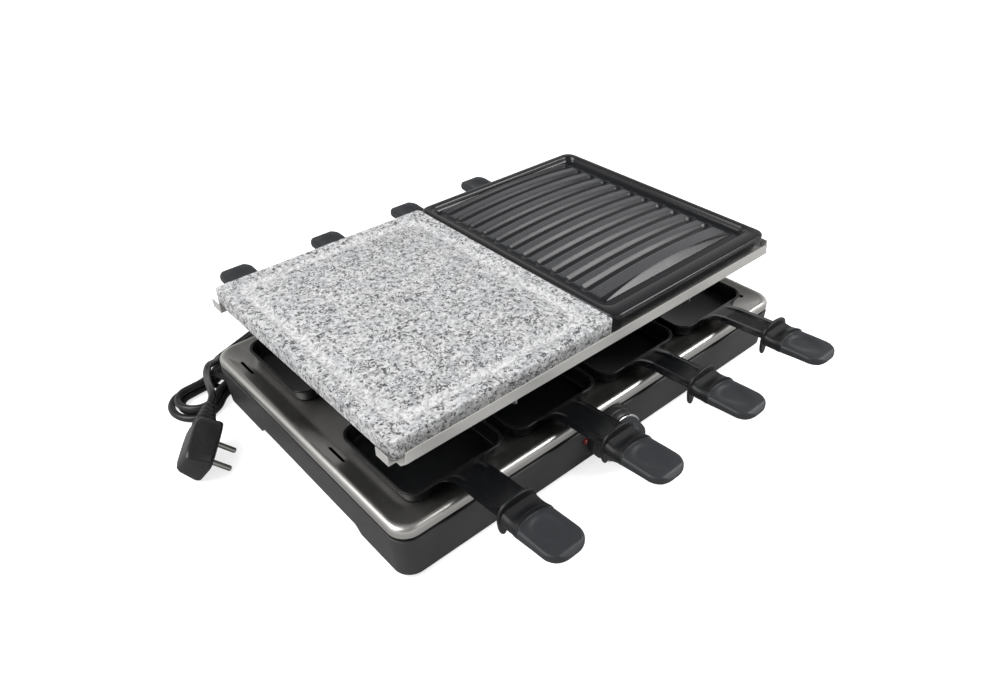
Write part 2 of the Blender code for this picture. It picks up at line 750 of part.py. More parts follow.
def base_housing():
    """The moulded base: a drafted skirt, a flange with the lip that the tray rests on, and bosses for the cover."""
    top_x, top_y = BASE_LENGTH / 2, BASE_DEPTH / 2
    low_z = FOOT_STANDOUT
    lip = LIP_INSET
    inner = LIP_INSET + LIP_WIDTH
    profile = (
        (BASE_DRAFT, low_z),
        (0, SKIRT_TOP_Z - BASE_EDGE),
        (BASE_EDGE / 3, SKIRT_TOP_Z - BASE_EDGE / 3),
        (BASE_EDGE, SKIRT_TOP_Z),
        (lip, SKIRT_TOP_Z),
        (lip, LIP_TOP_Z),
        (inner, LIP_TOP_Z),
        (inner, SKIRT_TOP_Z - LIP_DROP),
        (lip, SKIRT_TOP_Z - LIP_DROP),
        (lip, SKIRT_TOP_Z - BASE_WALL),
        (BASE_WALL, SKIRT_TOP_Z - BASE_WALL),
        (BASE_WALL + BASE_DRAFT, low_z),
    )
    rings = [
        rounded_rectangle(top_x - inset, top_y - inset, max(BASE_CORNER - inset, BASE_CORNER / 2), z)
        for inset, z in profile
    ]
    base = loft("base_housing", rings, BASE_PLASTIC, closed=True)
    added = []
    boss_top = SKIRT_TOP_Z - LIP_DROP / 2
    boss_low = COVER_TOP_Z + GAP
    for x in (-BOSS_X, BOSS_X):
        for y in (-1, 1):
            profile = ((0, boss_top), (BOSS_RADIUS, boss_top), (BOSS_RADIUS, boss_low), (0, boss_low))
            boss = turned("boss", profile, steps=10)
            boss.location = (x, y * (BASE_DEPTH / 2 - BOSS_INSET), 0)
            added.append(settle(boss))
    seat_depth = BASE_WALL + SEAT_STANDOUT
    profile = ((0, seat_depth), (SEAT_RADIUS, seat_depth), (SEAT_RADIUS, 0), (0, 0))
    seat = facing(turned("seat", profile, steps=24), (0, -1, 0), (KNOB_X, BASE_FRONT_Y + BASE_WALL, KNOB_Z))
    added.append(settle(seat))
    base = join(base, *added)
    cutters = [arch_cutter(-1), arch_cutter(1)]
    reach = BASE_WALL * 3
    for x, z, radius, side in (
        (KNOB_X, KNOB_Z, BUSH_RADIUS + GAP, -1),
        (LAMP_X, LAMP_Z, LAMP_RADIUS + GAP, -1),
        (GLAND_X, GLAND_Z, GLAND_ROOT_RADIUS + GAP, 1),
    ):
        hole = turned("hole", ((0, reach), (radius, reach), (radius, -reach), (0, -reach)), steps=16)
        cutters.append(settle(facing(hole, (0, side, 0), (x, side * BASE_DEPTH / 2, z))))
    for x in (-BOSS_X, BOSS_X):
        for y in (-1, 1):
            radius = SCREW_SHANK_RADIUS + GAP
            top = COVER_UNDER_Z + SCREW_SHANK_LENGTH + GAP
            hole = turned("pilot", ((0, top), (radius, top), (radius, 0), (0, 0)), steps=8)
            hole.location = (x, y * (BASE_DEPTH / 2 - BOSS_INSET), 0)
            cutters.append(settle(hole))
    return smooth(cut(base, *cutters))


def bottom_cover():
    """The flat cover under the base, with holes for its screws and for the stems of the feet."""
    inset = BASE_WALL + BASE_DRAFT + COVER_CLEARANCE
    outline = rounded_rectangle(BASE_LENGTH / 2 - inset, BASE_DEPTH / 2 - inset, BASE_CORNER - inset, 0)
    holes = []
    for side_x in (-1, 1):
        for side_y in (-1, 1):
            holes.append(circle(side_x * BOSS_X, side_y * (BASE_DEPTH / 2 - BOSS_INSET), SCREW_SHANK_RADIUS + GAP, 8))
            holes.append(circle(side_x * FOOT_X, side_y * FOOT_Y, FOOT_STEM_RADIUS + GAP, 8))
    cover = plate_outline("bottom_cover", [[point.xy for point in outline], *holes], COVER_THICKNESS, BASE_PLASTIC)
    cover.location.z = COVER_UNDER_Z + COVER_THICKNESS / 2
    return settle(cover)


def cover_screws():
    profile = (
        (0, SCREW_SHANK_LENGTH), (SCREW_SHANK_RADIUS, SCREW_SHANK_LENGTH), (SCREW_SHANK_RADIUS, -GAP),
        (SCREW_HEAD_RADIUS, -GAP), (SCREW_HEAD_RADIUS * 0.8, -SCREW_HEAD_HEIGHT), (0, -SCREW_HEAD_HEIGHT),
    )
    for number, (x, y) in enumerate(((-1, -1), (1, -1), (1, 1), (-1, 1)), 1):
        screw = turned(f"cover_screw_{number}", profile, SCREW_STEEL, steps=8)
        screw.location = (x * BOSS_X, y * (BASE_DEPTH / 2 - BOSS_INSET), COVER_UNDER_Z)


def feet():
    """Rubber feet, each held by a stem that snaps through the cover."""
    under = COVER_UNDER_Z - GAP
    over = COVER_TOP_Z + GAP
    profile = (
        (0, over + FOOT_BUTTON_HEIGHT), (FOOT_STEM_RADIUS, over + FOOT_BUTTON_HEIGHT), (FOOT_BUTTON_RADIUS, over),
        (FOOT_STEM_RADIUS, over), (FOOT_STEM_RADIUS, under), (FOOT_RADIUS, under),
        (FOOT_RADIUS - FOOT_TAPER, 0), (0, 0),
    )
    for number, (x, y) in enumerate(((-1, -1), (1, -1), (1, 1), (-1, 1)), 1):
        foot = turned(f"rubber_foot_{number}", profile, RUBBER, steps=12)
        foot.location = (x * FOOT_X, y * FOOT_Y, 0)


def reflector_tray():
    """The steel tray: a rolled rim over the base's lip, sloping sides and a flat floor."""
    edge_x, edge_y = BASE_LENGTH / 2 - TRAY_EDGE_INSET, BASE_DEPTH / 2 - TRAY_EDGE_INSET
    bead = TRAY_BEAD_INSET
    rise = TRAY_RIM_HEIGHT
    rim_steps = ((0, 0, 0), (0, 0, 0.45), (0.35, 0.35, 0.85), (0.78, 0.78, 0.99), (1.2, 1.2, 0.94))
    rings = []
    for share_x, share_y, rise_share in rim_steps:
        ring_x, ring_y = edge_x - bead * share_x, edge_y - bead * share_y
        rings.append(rounded_rectangle(ring_x, ring_y, TRAY_CORNER, TRAY_EDGE_Z + rise * rise_share))
    start_x, start_y = edge_x - bead * rim_steps[-1][0], edge_y - bead * rim_steps[-1][1]
    for slope_share, rise_share in ((0.55, 0.40), (0.92, 0.04), (1.0, 0.0)):
        ring_x, ring_y = start_x - TRAY_SLOPE_X * slope_share, start_y - TRAY_SLOPE_Y * slope_share
        rings.append(rounded_rectangle(ring_x, ring_y, TRAY_CORNER, TRAY_FLOOR_Z + rise * rise_share))
    tray = skin("reflector_tray", rings, SHEET, STAINLESS, cap_last=True, ring=True)
    cutters = []
    depth = TRAY_RIM_HEIGHT
    for side in (-1, 1):
        radius = TRAY_TAIL_HOLE
        profile = ((0, depth), (radius, depth), (radius, -depth), (0, -depth))
        hole = turned("tail_hole", profile, steps=14)
        hole.location = (HEATER_TAIL_X, side * HEATER_TAIL_Y, TRAY_FLOOR_Z)
        cutters.append(settle(hole))
        middle = side * (start_x - TRAY_SLOPE_X * 0.6)
        for slot_y in (side * TRAY_SLOT_NEAR_Y, -side * TRAY_SLOT_FAR_Y):
            low = (middle - TRAY_SLOT_WIDTH / 2, slot_y - TRAY_SLOT_LENGTH / 2, TRAY_FLOOR_Z - SHEET - GAP / 3)
            high = (middle + TRAY_SLOT_WIDTH / 2, slot_y + TRAY_SLOT_LENGTH / 2, TRAY_BEAD_Z)
            cutters.append(box("slot", low, high))
    return smooth(cut(tray, *cutters))


# Supports, heating element and terminals


def support(name, x):
    """A sheet support: a leg on the tray, two arms under the frame and holes that carry the heating element."""
    leg_low = TRAY_FLOOR_Z + GAP
    arm_top = FRAME_FLOOR_Z - GAP
    arm_low = arm_top - SUPPORT_ARM_HEIGHT
    reach, leg, fillet = SUPPORT_ARM_REACH, SUPPORT_LEG_HALF, SUPPORT_FILLET
    half = [(leg, leg_low + GAP)]
    for step in range(CORNER_STEPS + 1):
        angle = step / CORNER_STEPS * FULL_TURN / 4
        half.append((leg + fillet * (1 - math.cos(angle)), arm_low - fillet * (1 - math.sin(angle))))
    tip_low = arm_low + SUPPORT_ARM_TAPER
    half += [(reach - fillet / 4, tip_low), (reach, tip_low + fillet / 4), (reach, arm_top)]
    outline = half + [(-y, z) for y, z in reversed(half)]
    holes = []
    for y in (HEATER_INNER_Y, HEATER_OUTER_Y):
        for side in (-1, 1):
            holes.append(circle(side * y, HEATER_Z, HEATER_RADIUS + HEATER_HOLE_CLEARANCE, 12))
    sheet = plate_outline(name, [outline, *holes], SUPPORT_SHEET, STAINLESS)
    upright = Matrix(((0, 0, 1), (1, 0, 0), (0, 1, 0))).to_4x4()
    sheet.matrix_world = Matrix.Translation((x, 0, 0)) @ upright
    sheet = settle(sheet)
    inward = -1 if x > 0 else 1
    foot = sorted((x - inward * (SUPPORT_SHEET / 2 - GAP / 2), x + inward * SUPPORT_FOOT))
    foot_half = leg - GAP
    return join(sheet, box("foot", (foot[0], -foot_half, leg_low), (foot[1], foot_half, leg_low + SUPPORT_SHEET)))


def heating_element():
    """One round element in an M: down the front, back along the middle, and the same behind, with two tails."""
    z, reach = HEATER_Z, HEATER_REACH
    outer, inner, tail_y = HEATER_OUTER_Y, HEATER_INNER_Y, HEATER_TAIL_Y
    tail_z = COVER_TOP_Z + TERMINAL_HEIGHT + GAP * 2
    front = [
        (HEATER_TAIL_X, -tail_y, tail_z), (HEATER_TAIL_X, -tail_y, z), (HEATER_TAIL_X, -inner, z),
    ]
    back = [(x, -y, height) for x, y, height in reversed(front)]
    corners = front[:2]
    corners += [(HEATER_TAIL_X, -inner, z), (reach, -inner, z), (reach, -outer, z), (-reach, -outer, z)]
    corners += [(-reach, outer, z), (reach, outer, z), (reach, inner, z), (HEATER_TAIL_X, inner, z)]
    corners += back[1:]
    path = [Vector(corners[0])]
    for before, corner, after in zip(corners, corners[1:], corners[2:]):
        reach_back = (Vector(before) - Vector(corner)).length / 2
        reach_on = (Vector(after) - Vector(corner)).length / 2
        bend = min(HEATER_BEND, reach_back, reach_on)
        path += rounded_path((before, corner, after), bend, 3)[1:-1]
    path.append(Vector(corners[-1]))
    return tube("heating_element", path, HEATER_RADIUS, HEATER_STEEL)


def terminal_block():
    """The ceramic block on the cover that the element's tails end over."""
    half_x, half_y = TERMINAL_LENGTH / 2, TERMINAL_DEPTH / 2
    low = (HEATER_TAIL_X - half_x, -half_y, COVER_TOP_Z + GAP)
    high = (HEATER_TAIL_X + half_x, half_y, COVER_TOP_Z + GAP + TERMINAL_HEIGHT)
    return box("terminal_block", low, high, CERAMIC, TERMINAL_EDGE)


# Pans and their handles


def pan_mesh():
    """A pan for the front row, its middle at the origin in X and its real place in Y and Z."""
    half_x, half_y = PAN_WIDTH / 2, PAN_LENGTH / 2
    lip, draft, foot = PAN_LIP, PAN_DRAFT, PAN_FOOT_RADIUS
    top = PAN_LIP_Z
    floor = PAN_UNDER_Z + SHEET
    rows = (
        (0, top - lip / 2), (lip / 8, top - lip / 8), (lip / 2, top), (lip, top - lip / 3),
        (lip + draft, floor + foot), (lip + draft + foot, floor),
    )
    rings = []
    for inset, z in rows:
        ring = rounded_rectangle(half_x - inset, half_y - inset, PAN_CORNER - inset / 2, z, 2)
        rings.append([point + Vector((0, PAN_Y, 0)) for point in ring])
    basin = skin("pan", rings, SHEET, PAN_COATING, cap_last=True, ring=True)
    front = -PAN_Y + half_y
    guard = GUARD_Y
    neck, fillet, tang = NECK_WIDTH / 2, NECK_FILLET, TANG_WIDTH / 2
    stations = (
        (front - lip, neck + fillet * 1.1, top + GAP, 0), (front + fillet * 0.12, neck + fillet * 0.52, 0, 0.3),
        (front + fillet * 0.42, neck + fillet * 0.18, NECK_FOOT_Z, 1.0), (front + fillet, neck, 0, 1.0),
        (NECK_KNEE_Y, neck, NECK_KNEE_Z, 1.0), (guard - GUARD_SHEET * 2, neck, TANG_Z, 1.0),
        (guard - GUARD_SHEET, neck - GAP, TANG_Z, 0.0), (guard - GUARD_SHEET / 2, tang, TANG_Z, 0.0),
        (guard + TANG_LENGTH, tang, TANG_Z, 0.0),
    )
    lines = []
    for y, half, z, rib_share in stations:
        z = z or (NECK_FOOT_Z + (NECK_KNEE_Z if y > front + fillet / 2 else top)) / 2
        rib = NECK_RIB_HEIGHT * rib_share
        cross = ((-1, 0), (-0.72, 0), (-0.55, rib), (-0.38, 0), (0.38, 0), (0.55, rib), (0.72, 0), (1, 0))
        lines.append([Vector((share * half, -y, z + rise)) for share, rise in cross])
    neck_sheet = skin("neck", lines, SHEET)
    made = join(basin, neck_sheet)
    radius = SCREW_SHANK_RADIUS + GAP
    hole = turned("tang_hole", ((0, SHEET * 2), (radius, SHEET * 2), (radius, -SHEET * 2), (0, -SHEET * 2)), steps=8)
    hole.location = (0, -HANDLE_SCREW_Y, TANG_Z)
    made = smooth(cut(made, settle(hole)))
    return made


def handle_section(y, half, top, under, round_share, hollow, bow):
    """A section across the handle: rounded corners, a top that dips in the middle, and sides bowed towards the tip."""
    radius = (top - under) * round_share
    points = []
    for corner, (side_x, side_z) in enumerate(((1, 1), (-1, 1), (-1, -1), (1, -1))):
        edge = top if side_z > 0 else under
        for step in range(3):
            angle = (corner + step / 2) * FULL_TURN / 4
            x = side_x * (half - radius) + radius * math.cos(angle)
            points.append(Vector((x, -y, edge - side_z * radius + radius * math.sin(angle))))
        if corner == 0:
            for share in (0.45, 0.0, -0.45):
                dip = hollow * (1 - (share / 0.9) ** 2)
                points.append(Vector((share * half, -y, top - dip)))
    for point in points:
        point.y -= bow * (point.x / half) ** 2
    return points


def handle_mesh():
    """A handle for the front row: guard with two wings, valley, arched thumb ridge and a spoon-shaped grip."""
    collar, grip = HANDLE_COLLAR_WIDTH / 2, HANDLE_WIDTH / 2
    under, ridge, bow = HANDLE_UNDER_Z, RIDGE_Y, RIDGE_BOW
    end, last = HANDLE_END_Y, GRIP_END_Z
    lift, rise, dome = under + HANDLE_LIFT, GRIP_RISE, RIDGE_DOME
    step = GUARD_SHEET
    tip = (end - ridge) / 5
    valley = HANDLE_VALLEY
    sections = (
        (GUARD_Y, collar, HANDLE_COLLAR_Z, under, 0.42, 0, 0),
        ((GUARD_Y + ridge) / 2, collar, HANDLE_COLLAR_Z - valley, under, 0.42, 0, bow / 3),
        (ridge - step / 4, grip, RIDGE_TOP_Z - dome, (under + lift) / 2, 0.42, -dome, bow),
        (ridge + step / 3, grip, RIDGE_TOP_Z - dome, (under + lift) / 2, 0.42, -dome * 0.8, bow),
        (ridge + step, grip, GRIP_TOP_Z, lift, 0.42, GRIP_HOLLOW, bow),
        (ridge + 2 * tip, grip, GRIP_TOP_Z + rise / 2, lift + rise / 2, 0.42, GRIP_HOLLOW, bow / 4),
        (end - 1.2 * tip, grip, GRIP_TOP_Z + rise, (lift + last) / 2, 0.42, GRIP_HOLLOW * 0.8, 0),
        (end - 0.55 * tip, grip * 0.93, GRIP_TOP_Z + rise, last, 0.42, GRIP_HOLLOW / 4, 0),
        (end - 0.15 * tip, grip * 0.74, GRIP_TOP_Z + rise / 2, last, 0.4, 0, -bow / 6),
        (end, grip * 0.5, GRIP_TOP_Z - step / 3, last + step / 3, 0.4, 0, 0),
    )
    body = loft("handle", [handle_section(*section) for section in sections], HANDLE_PLASTIC)
    wing, tip_low = GUARD_TIP_WIDTH, GUARD_TIP_Z
    half = []
    for share_x, z in (
        (0.0, GUARD_TOP_Z), (0.35, GUARD_TOP_Z - step / 4), (0.68, GUARD_TOP_Z - step), (0.90, GUARD_TOP_Z - step * 2.4),
        (1.0, GUARD_SIDE_Z),
    ):
        half.append((share_x * GUARD_HALF, z))
    half += [(GUARD_HALF - wing * 0.2, tip_low + wing * 0.7), (GUARD_HALF - wing * 0.4, tip_low + wing * 0.15)]
    half += [(GUARD_HALF - wing * 0.7, tip_low), (GUARD_HALF - wing * 0.95, tip_low + wing * 0.3)]
    half += [(GUARD_HALF - wing * 1.1, tip_low + wing), (GUARD_HALF - wing * 1.25, under + step)]
    outline = half + [(-x, z) for x, z in reversed(half[1:])]
    guard = plate_outline("guard", [outline], GUARD_SHEET)
    upright = Matrix(((1, 0, 0), (0, 0, -1), (0, 1, 0))).to_4x4()
    guard.matrix_world = Matrix.Translation((0, -GUARD_Y, 0)) @ upright
    handle = join(body, settle(guard))
    slot_half, slot_low = TANG_WIDTH / 2 + GAP, TANG_Z - SHEET - GAP
    slot = box(
        "slot",
        (-slot_half, -GUARD_Y - TANG_LENGTH - GAP, slot_low),
        (slot_half, -GUARD_Y + OVERRUN, TANG_Z + GAP),
    )
    shank, head = SCREW_SHANK_RADIUS + GAP, HANDLE_SCREW_HEAD + GAP
    seat = lift + HANDLE_SCREW_SINK + SCREW_HEAD_HEIGHT
    top = TANG_Z + SHEET
    profile = ((0, top), (shank, top), (shank, seat), (head, seat), (head, under - OVERRUN), (0, under - OVERRUN))
    hole = turned("screw_hole", profile, steps=8)
    hole.location = (0, -HANDLE_SCREW_Y, 0)
    return smooth(cut(handle, slot, settle(hole)))


def pan_screw_mesh():
    under = HANDLE_UNDER_Z + HANDLE_LIFT + HANDLE_SCREW_SINK
    head = under + SCREW_HEAD_HEIGHT - GAP
    top = TANG_Z + SHEET - GAP
    radius, shank = HANDLE_SCREW_HEAD, SCREW_SHANK_RADIUS
    profile = ((0, top), (shank, top), (shank, head), (radius, head), (radius * 0.8, under), (0, under))
    screw = turned("pan_screw", profile, SCREW_STEEL, steps=8)
    screw.location = (0, -HANDLE_SCREW_Y, 0)
    return settle(screw)


def pans():
    """Four pans in front and four behind, which are the front ones turned half round."""
    masters = {"pan": pan_mesh(), "pan_handle": handle_mesh(), "pan_screw": pan_screw_mesh()}
    for row in range(2):
        for place_in_row in range(PANS_PER_SIDE):
            number = row * PANS_PER_SIDE + place_in_row + 1
            x = (place_in_row - (PANS_PER_SIDE - 1) / 2) * PAN_PITCH
            slide = bpy.data.objects.new(f"pan_{number}_slide", None)
            PARTS.objects.link(slide)
            slide.matrix_world = Matrix.Translation((x, 0, 0)) @ Matrix.Rotation(row * FULL_TURN / 2, 4, "Z")
            for name, master in masters.items():
                obj = bpy.data.objects.new(f"{name}_{number}", master.data)
                PARTS.objects.link(obj)
                obj.parent = slide
                obj.matrix_local = master.matrix_world.copy()
    for master in masters.values():
        bpy.data.objects.remove(master, do_unlink=True)


# Thermostat, knob and lamp


def thermostat():
    """The thermostat behind the front wall, its bush in the wall and its shaft, which turns with the knob."""
    bush_tip = BASE_FRONT_Y - SEAT_STANDOUT - GAP * 4
    back = BASE_FRONT_Y + BASE_WALL + BASE_DRAFT + LIP_INSET
    half = THERMOSTAT_SIDE / 2
    low = (KNOB_X - half, back, KNOB_Z - half)
    high = (KNOB_X + half, back + THERMOSTAT_DEPTH, KNOB_Z + SKIRT_TOP_Z - LIP_DROP - KNOB_Z - GAP)
    body = box("thermostat", low, high, CERAMIC, TERMINAL_EDGE)
    length = back + THERMOSTAT_DEPTH / 2 - bush_tip
    profile = ((0, length), (BUSH_RADIUS, length), (BUSH_RADIUS, 0), (0, 0))
    bush = facing(turned("bush", profile, steps=16), (0, -1, 0), (KNOB_X, bush_tip + length, KNOB_Z))
    body = join(body, settle(bush))
    bore = SHAFT_RADIUS + SHAFT_BORE_CLEARANCE
    depth = length - OVERRUN
    hole_end = bush_tip + depth
    profile = ((0, depth + OVERRUN), (bore, depth + OVERRUN), (bore, 0), (0, 0))
    hole = facing(turned("bore", profile, steps=16), (0, -1, 0), (KNOB_X, hole_end, KNOB_Z))
    smooth(cut(body, settle(hole)))
    shaft_back = hole_end - GAP
    shaft_tip = BEZEL_BACK_Y - BEZEL_DEPTH - BEZEL_CONE_DEPTH - KNOB_HEIGHT / 2
    reach = shaft_back - shaft_tip
    profile = ((0, reach), (SHAFT_RADIUS, reach), (SHAFT_RADIUS, 0), (0, 0))
    shaft = facing(turned("thermostat_shaft", profile, SCREW_STEEL, steps=16), (0, -1, 0), (KNOB_X, shaft_back, KNOB_Z))
    return smooth(settle(shaft))


def knob_bezel():
    """The collar round the knob: a drum and a cone, open in front for the knob's skirt and bored for the bush."""
    back, drum = 0, BEZEL_DEPTH
    tip = BEZEL_DEPTH + BEZEL_CONE_DEPTH
    outer, mouth = BEZEL_RADIUS, BEZEL_CONE_RADIUS
    wall = BEZEL_WALL
    bore = BUSH_RADIUS + GAP
    profile = (
        (mouth - wall / 2, tip), (mouth, tip - wall / 4), (outer - wall / 4, drum), (outer, drum - wall / 2),
        (outer, back), (bore, back), (bore, wall), (mouth - wall, wall), (mouth - wall, tip),
    )
    bezel = turned("knob_bezel", profile, BASE_PLASTIC, steps=24, ring=True)
    facing(bezel, (0, -1, 0), (KNOB_X, BEZEL_BACK_Y, KNOB_Z))
    return smooth(settle(bezel))


def knob():
    """The knob: a cone with a grip bar left between two scooped sides, and a bright ring round its foot."""
    foot_y = BEZEL_BACK_Y - BEZEL_DEPTH - BEZEL_CONE_DEPTH - GAP * 3
    ring_inner = KNOB_RADIUS - KNOB_RING_HEIGHT
    profile = (
        (KNOB_RADIUS - GAP, KNOB_RING_HEIGHT), (KNOB_RING_RADIUS - GAP, KNOB_RING_HEIGHT),
        (KNOB_RING_RADIUS, KNOB_RING_HEIGHT / 2), (KNOB_RING_RADIUS, 0), (ring_inner, 0),
        (ring_inner, KNOB_RING_HEIGHT),
    )
    ring = turned("knob_ring", profile, CHROME, steps=24, ring=True)
    facing(ring, (0, -1, 0), (KNOB_X, foot_y, KNOB_Z))
    smooth(settle(ring))
    low = KNOB_RING_HEIGHT + GAP
    edge = PLATE_EDGE
    spigot = ring_inner - GAP
    bore = SHAFT_RADIUS + GAP
    depth = KNOB_HEIGHT / 2 + GAP * 4
    profile = (
        (0, KNOB_HEIGHT), (KNOB_TIP_RADIUS - edge, KNOB_HEIGHT), (KNOB_TIP_RADIUS, KNOB_HEIGHT - edge),
        (KNOB_RADIUS, low), (spigot, low), (spigot, 0), (bore, 0), (bore, depth), (0, depth),
    )
    body = turned("thermostat_knob", profile, HANDLE_PLASTIC, steps=24)
    facing(body, (0, -1, 0), (KNOB_X, foot_y, KNOB_Z))
    body = settle(body)
    scoops = []
    for side in (-1, 1):
        reach = KNOB_RADIUS
        middle = KNOB_X + side * (KNOB_GRIP_WIDTH / 2 + reach / 2)
        low_corner = (middle - reach / 2, foot_y - KNOB_HEIGHT - OVERRUN, KNOB_Z - KNOB_RADIUS - OVERRUN)
        high_corner = (middle + reach / 2, foot_y - KNOB_HEIGHT + KNOB_DISH, KNOB_Z + KNOB_RADIUS + OVERRUN)
        scoops.append(box("scoop", low_corner, high_corner, None, PLATE_EDGE))
    return smooth(cut(body, *scoops))


def lamp():
    """The indicator: a red lens in the front wall and the lamp behind it."""
    wall_y = BASE_FRONT_Y + BASE_DRAFT * (1 - (LAMP_Z - FOOT_STANDOUT) / SKIRT_HEIGHT)
    flange = LAMP_RADIUS + GAP * 2
    stem = BASE_WALL + BASE_DRAFT
    profile = (
        (0, GAP + LAMP_FLANGE + LAMP_DOME), (LAMP_RADIUS * 0.7, GAP + LAMP_FLANGE + LAMP_DOME * 0.7),
        (LAMP_RADIUS, GAP + LAMP_FLANGE), (flange, GAP + LAMP_FLANGE), (flange, GAP), (LAMP_RADIUS, GAP),
        (LAMP_RADIUS, -stem), (0, -stem),
    )
    lens = turned("indicator_lens", profile, LENS_RED, steps=16)
    smooth(settle(facing(lens, (0, -1, 0), (LAMP_X, wall_y, LAMP_Z))))
    radius = LAMP_BODY_RADIUS
    profile = ((0, LAMP_BODY_LENGTH), (radius, LAMP_BODY_LENGTH), (radius, 0), (0, 0))
    body = turned("lamp_body", profile, CERAMIC, steps=12)
    return smooth(settle(facing(body, (0, 1, 0), (LAMP_X, wall_y + stem + GAP, LAMP_Z))))


# Mains lead, its hank and its plug


def cord_gland():
    """The strain relief: a collar against the back wall, a root in the wall and a grooved taper."""
    root = BASE_WALL + BASE_DRAFT
    collar_low = GAP + BASE_DRAFT * 0.7
    collar_top = collar_low + GLAND_COLLAR_HEIGHT
    profile = [(0, GLAND_LENGTH), (GLAND_TIP_RADIUS - GLAND_GROOVE_DEPTH / 2, GLAND_LENGTH)]
    for groove in range(GLAND_GROOVES):
        for share, dent in ((0.15, 0), (0.45, 0), (0.55, 1), (0.85, 1)):
            along = (groove + share) / GLAND_GROOVES
            radius = GLAND_TIP_RADIUS + (GLAND_ROOT_RADIUS - GLAND_TIP_RADIUS) * along
            z = GLAND_LENGTH - (GLAND_LENGTH - collar_top) * along
            profile.append((radius - dent * GLAND_GROOVE_DEPTH, z))
    profile += [
        (GLAND_ROOT_RADIUS, collar_top), (GLAND_COLLAR_RADIUS, collar_top), (GLAND_COLLAR_RADIUS, collar_low),
        (GLAND_ROOT_RADIUS, collar_low), (GLAND_ROOT_RADIUS, -root), (0, -root),
    ]
    gland = turned("cord_gland", profile, CORD_PLASTIC, steps=10)
    return smooth(settle(facing(gland, (0, 1, 0), (GLAND_X, BASE_DEPTH / 2, GLAND_Z))))


def hank_frame():
    """The hank's own axes: X along its runs, with the origin under its middle."""
    turn = Matrix.Rotation(math.radians(HANK_TURN_DEGREES), 4, "Z")
    return Matrix.Translation((*HANK_MIDDLE, 0)) @ turn


def hank_point(turns):
    """A place on the hank's centre line: an oval lane that steps in and out again, drawn in where it is tied."""
    radius = HANK_FOLD_RADIUS - HANK_STEP * min(turns, HANK_LOOPS - turns)
    run, fold, half = HANK_RUN_POINTS, HANK_FOLD_POINTS, HANK_HALF_RUN
    stage = (turns + HANK_START_SHARE) % 1 * 2 * (run + fold)
    side = 1 if stage < run + fold else -1
    stage %= run + fold
    if stage < run:
        x, y = half - 2 * half * stage / run, radius
    else:
        angle = math.pi * (stage - run) / fold
        x, y = -half - radius * math.sin(angle), radius * math.cos(angle)
    x, y = side * x, side * y
    tied = math.exp(-(((x - TIE_FROM_MIDDLE) / HANK_WAIST) ** 2))
    y -= math.copysign(HANK_DRAW * tied, y)
    climb = min(max((turns - HANK_LOOPS / 2) * 2 + 0.5, 0), 1)
    lift = (TIE_SHEET + 2 * GAP) * tied
    return Vector((x, y, CORD_RADIUS + lift + HANK_LAYER * climb * climb * (3 - 2 * climb)))


def hank_points():
    """The hank's centre line, with one tube diameter of straight run at each end."""
    points_per_loop = 2 * (HANK_RUN_POINTS + HANK_FOLD_POINTS)
    frame = hank_frame()
    points = [frame @ hank_point(i / points_per_loop) for i in range(HANK_LAST_POINT + 1)]
    start = points[0] - (points[1] - points[0]).normalized() * CORD_DIAMETER
    end = points[-1] + (points[-1] - points[-2]).normalized() * CORD_DIAMETER
    return [start, *points, end]


def least_gap(points):
    """The least clear distance between stretches of the tube that aren't neighbours along it."""
    apart = int(1 + 3 * CORD_DIAMETER / ((points[2] - points[1]).length))
    nearest = []
    for i, point in enumerate(points):
        for j in range(i + apart, len(points) - 1):
            a, b = points[j], points[j + 1]
            along = b - a
            share = min(max((point - a).dot(along) / along.length_squared, 0), 1)
            nearest.append((a + along * share - point).length)
    return min(nearest) - CORD_DIAMETER


def plug_frame():
    """The plug's own axes: X out of its face, Y along its length away from the boot, Z through its thickness."""
    out = Vector(PLUG_OUT).normalized()
    along = Vector(PLUG_ALONG)
    along = (along - along.dot(out) * out).normalized()
    through = out.cross(along)
    turn = Matrix((out, along, through)).transposed().to_4x4()
    return Matrix.Translation(PLUG_MIDDLE) @ turn


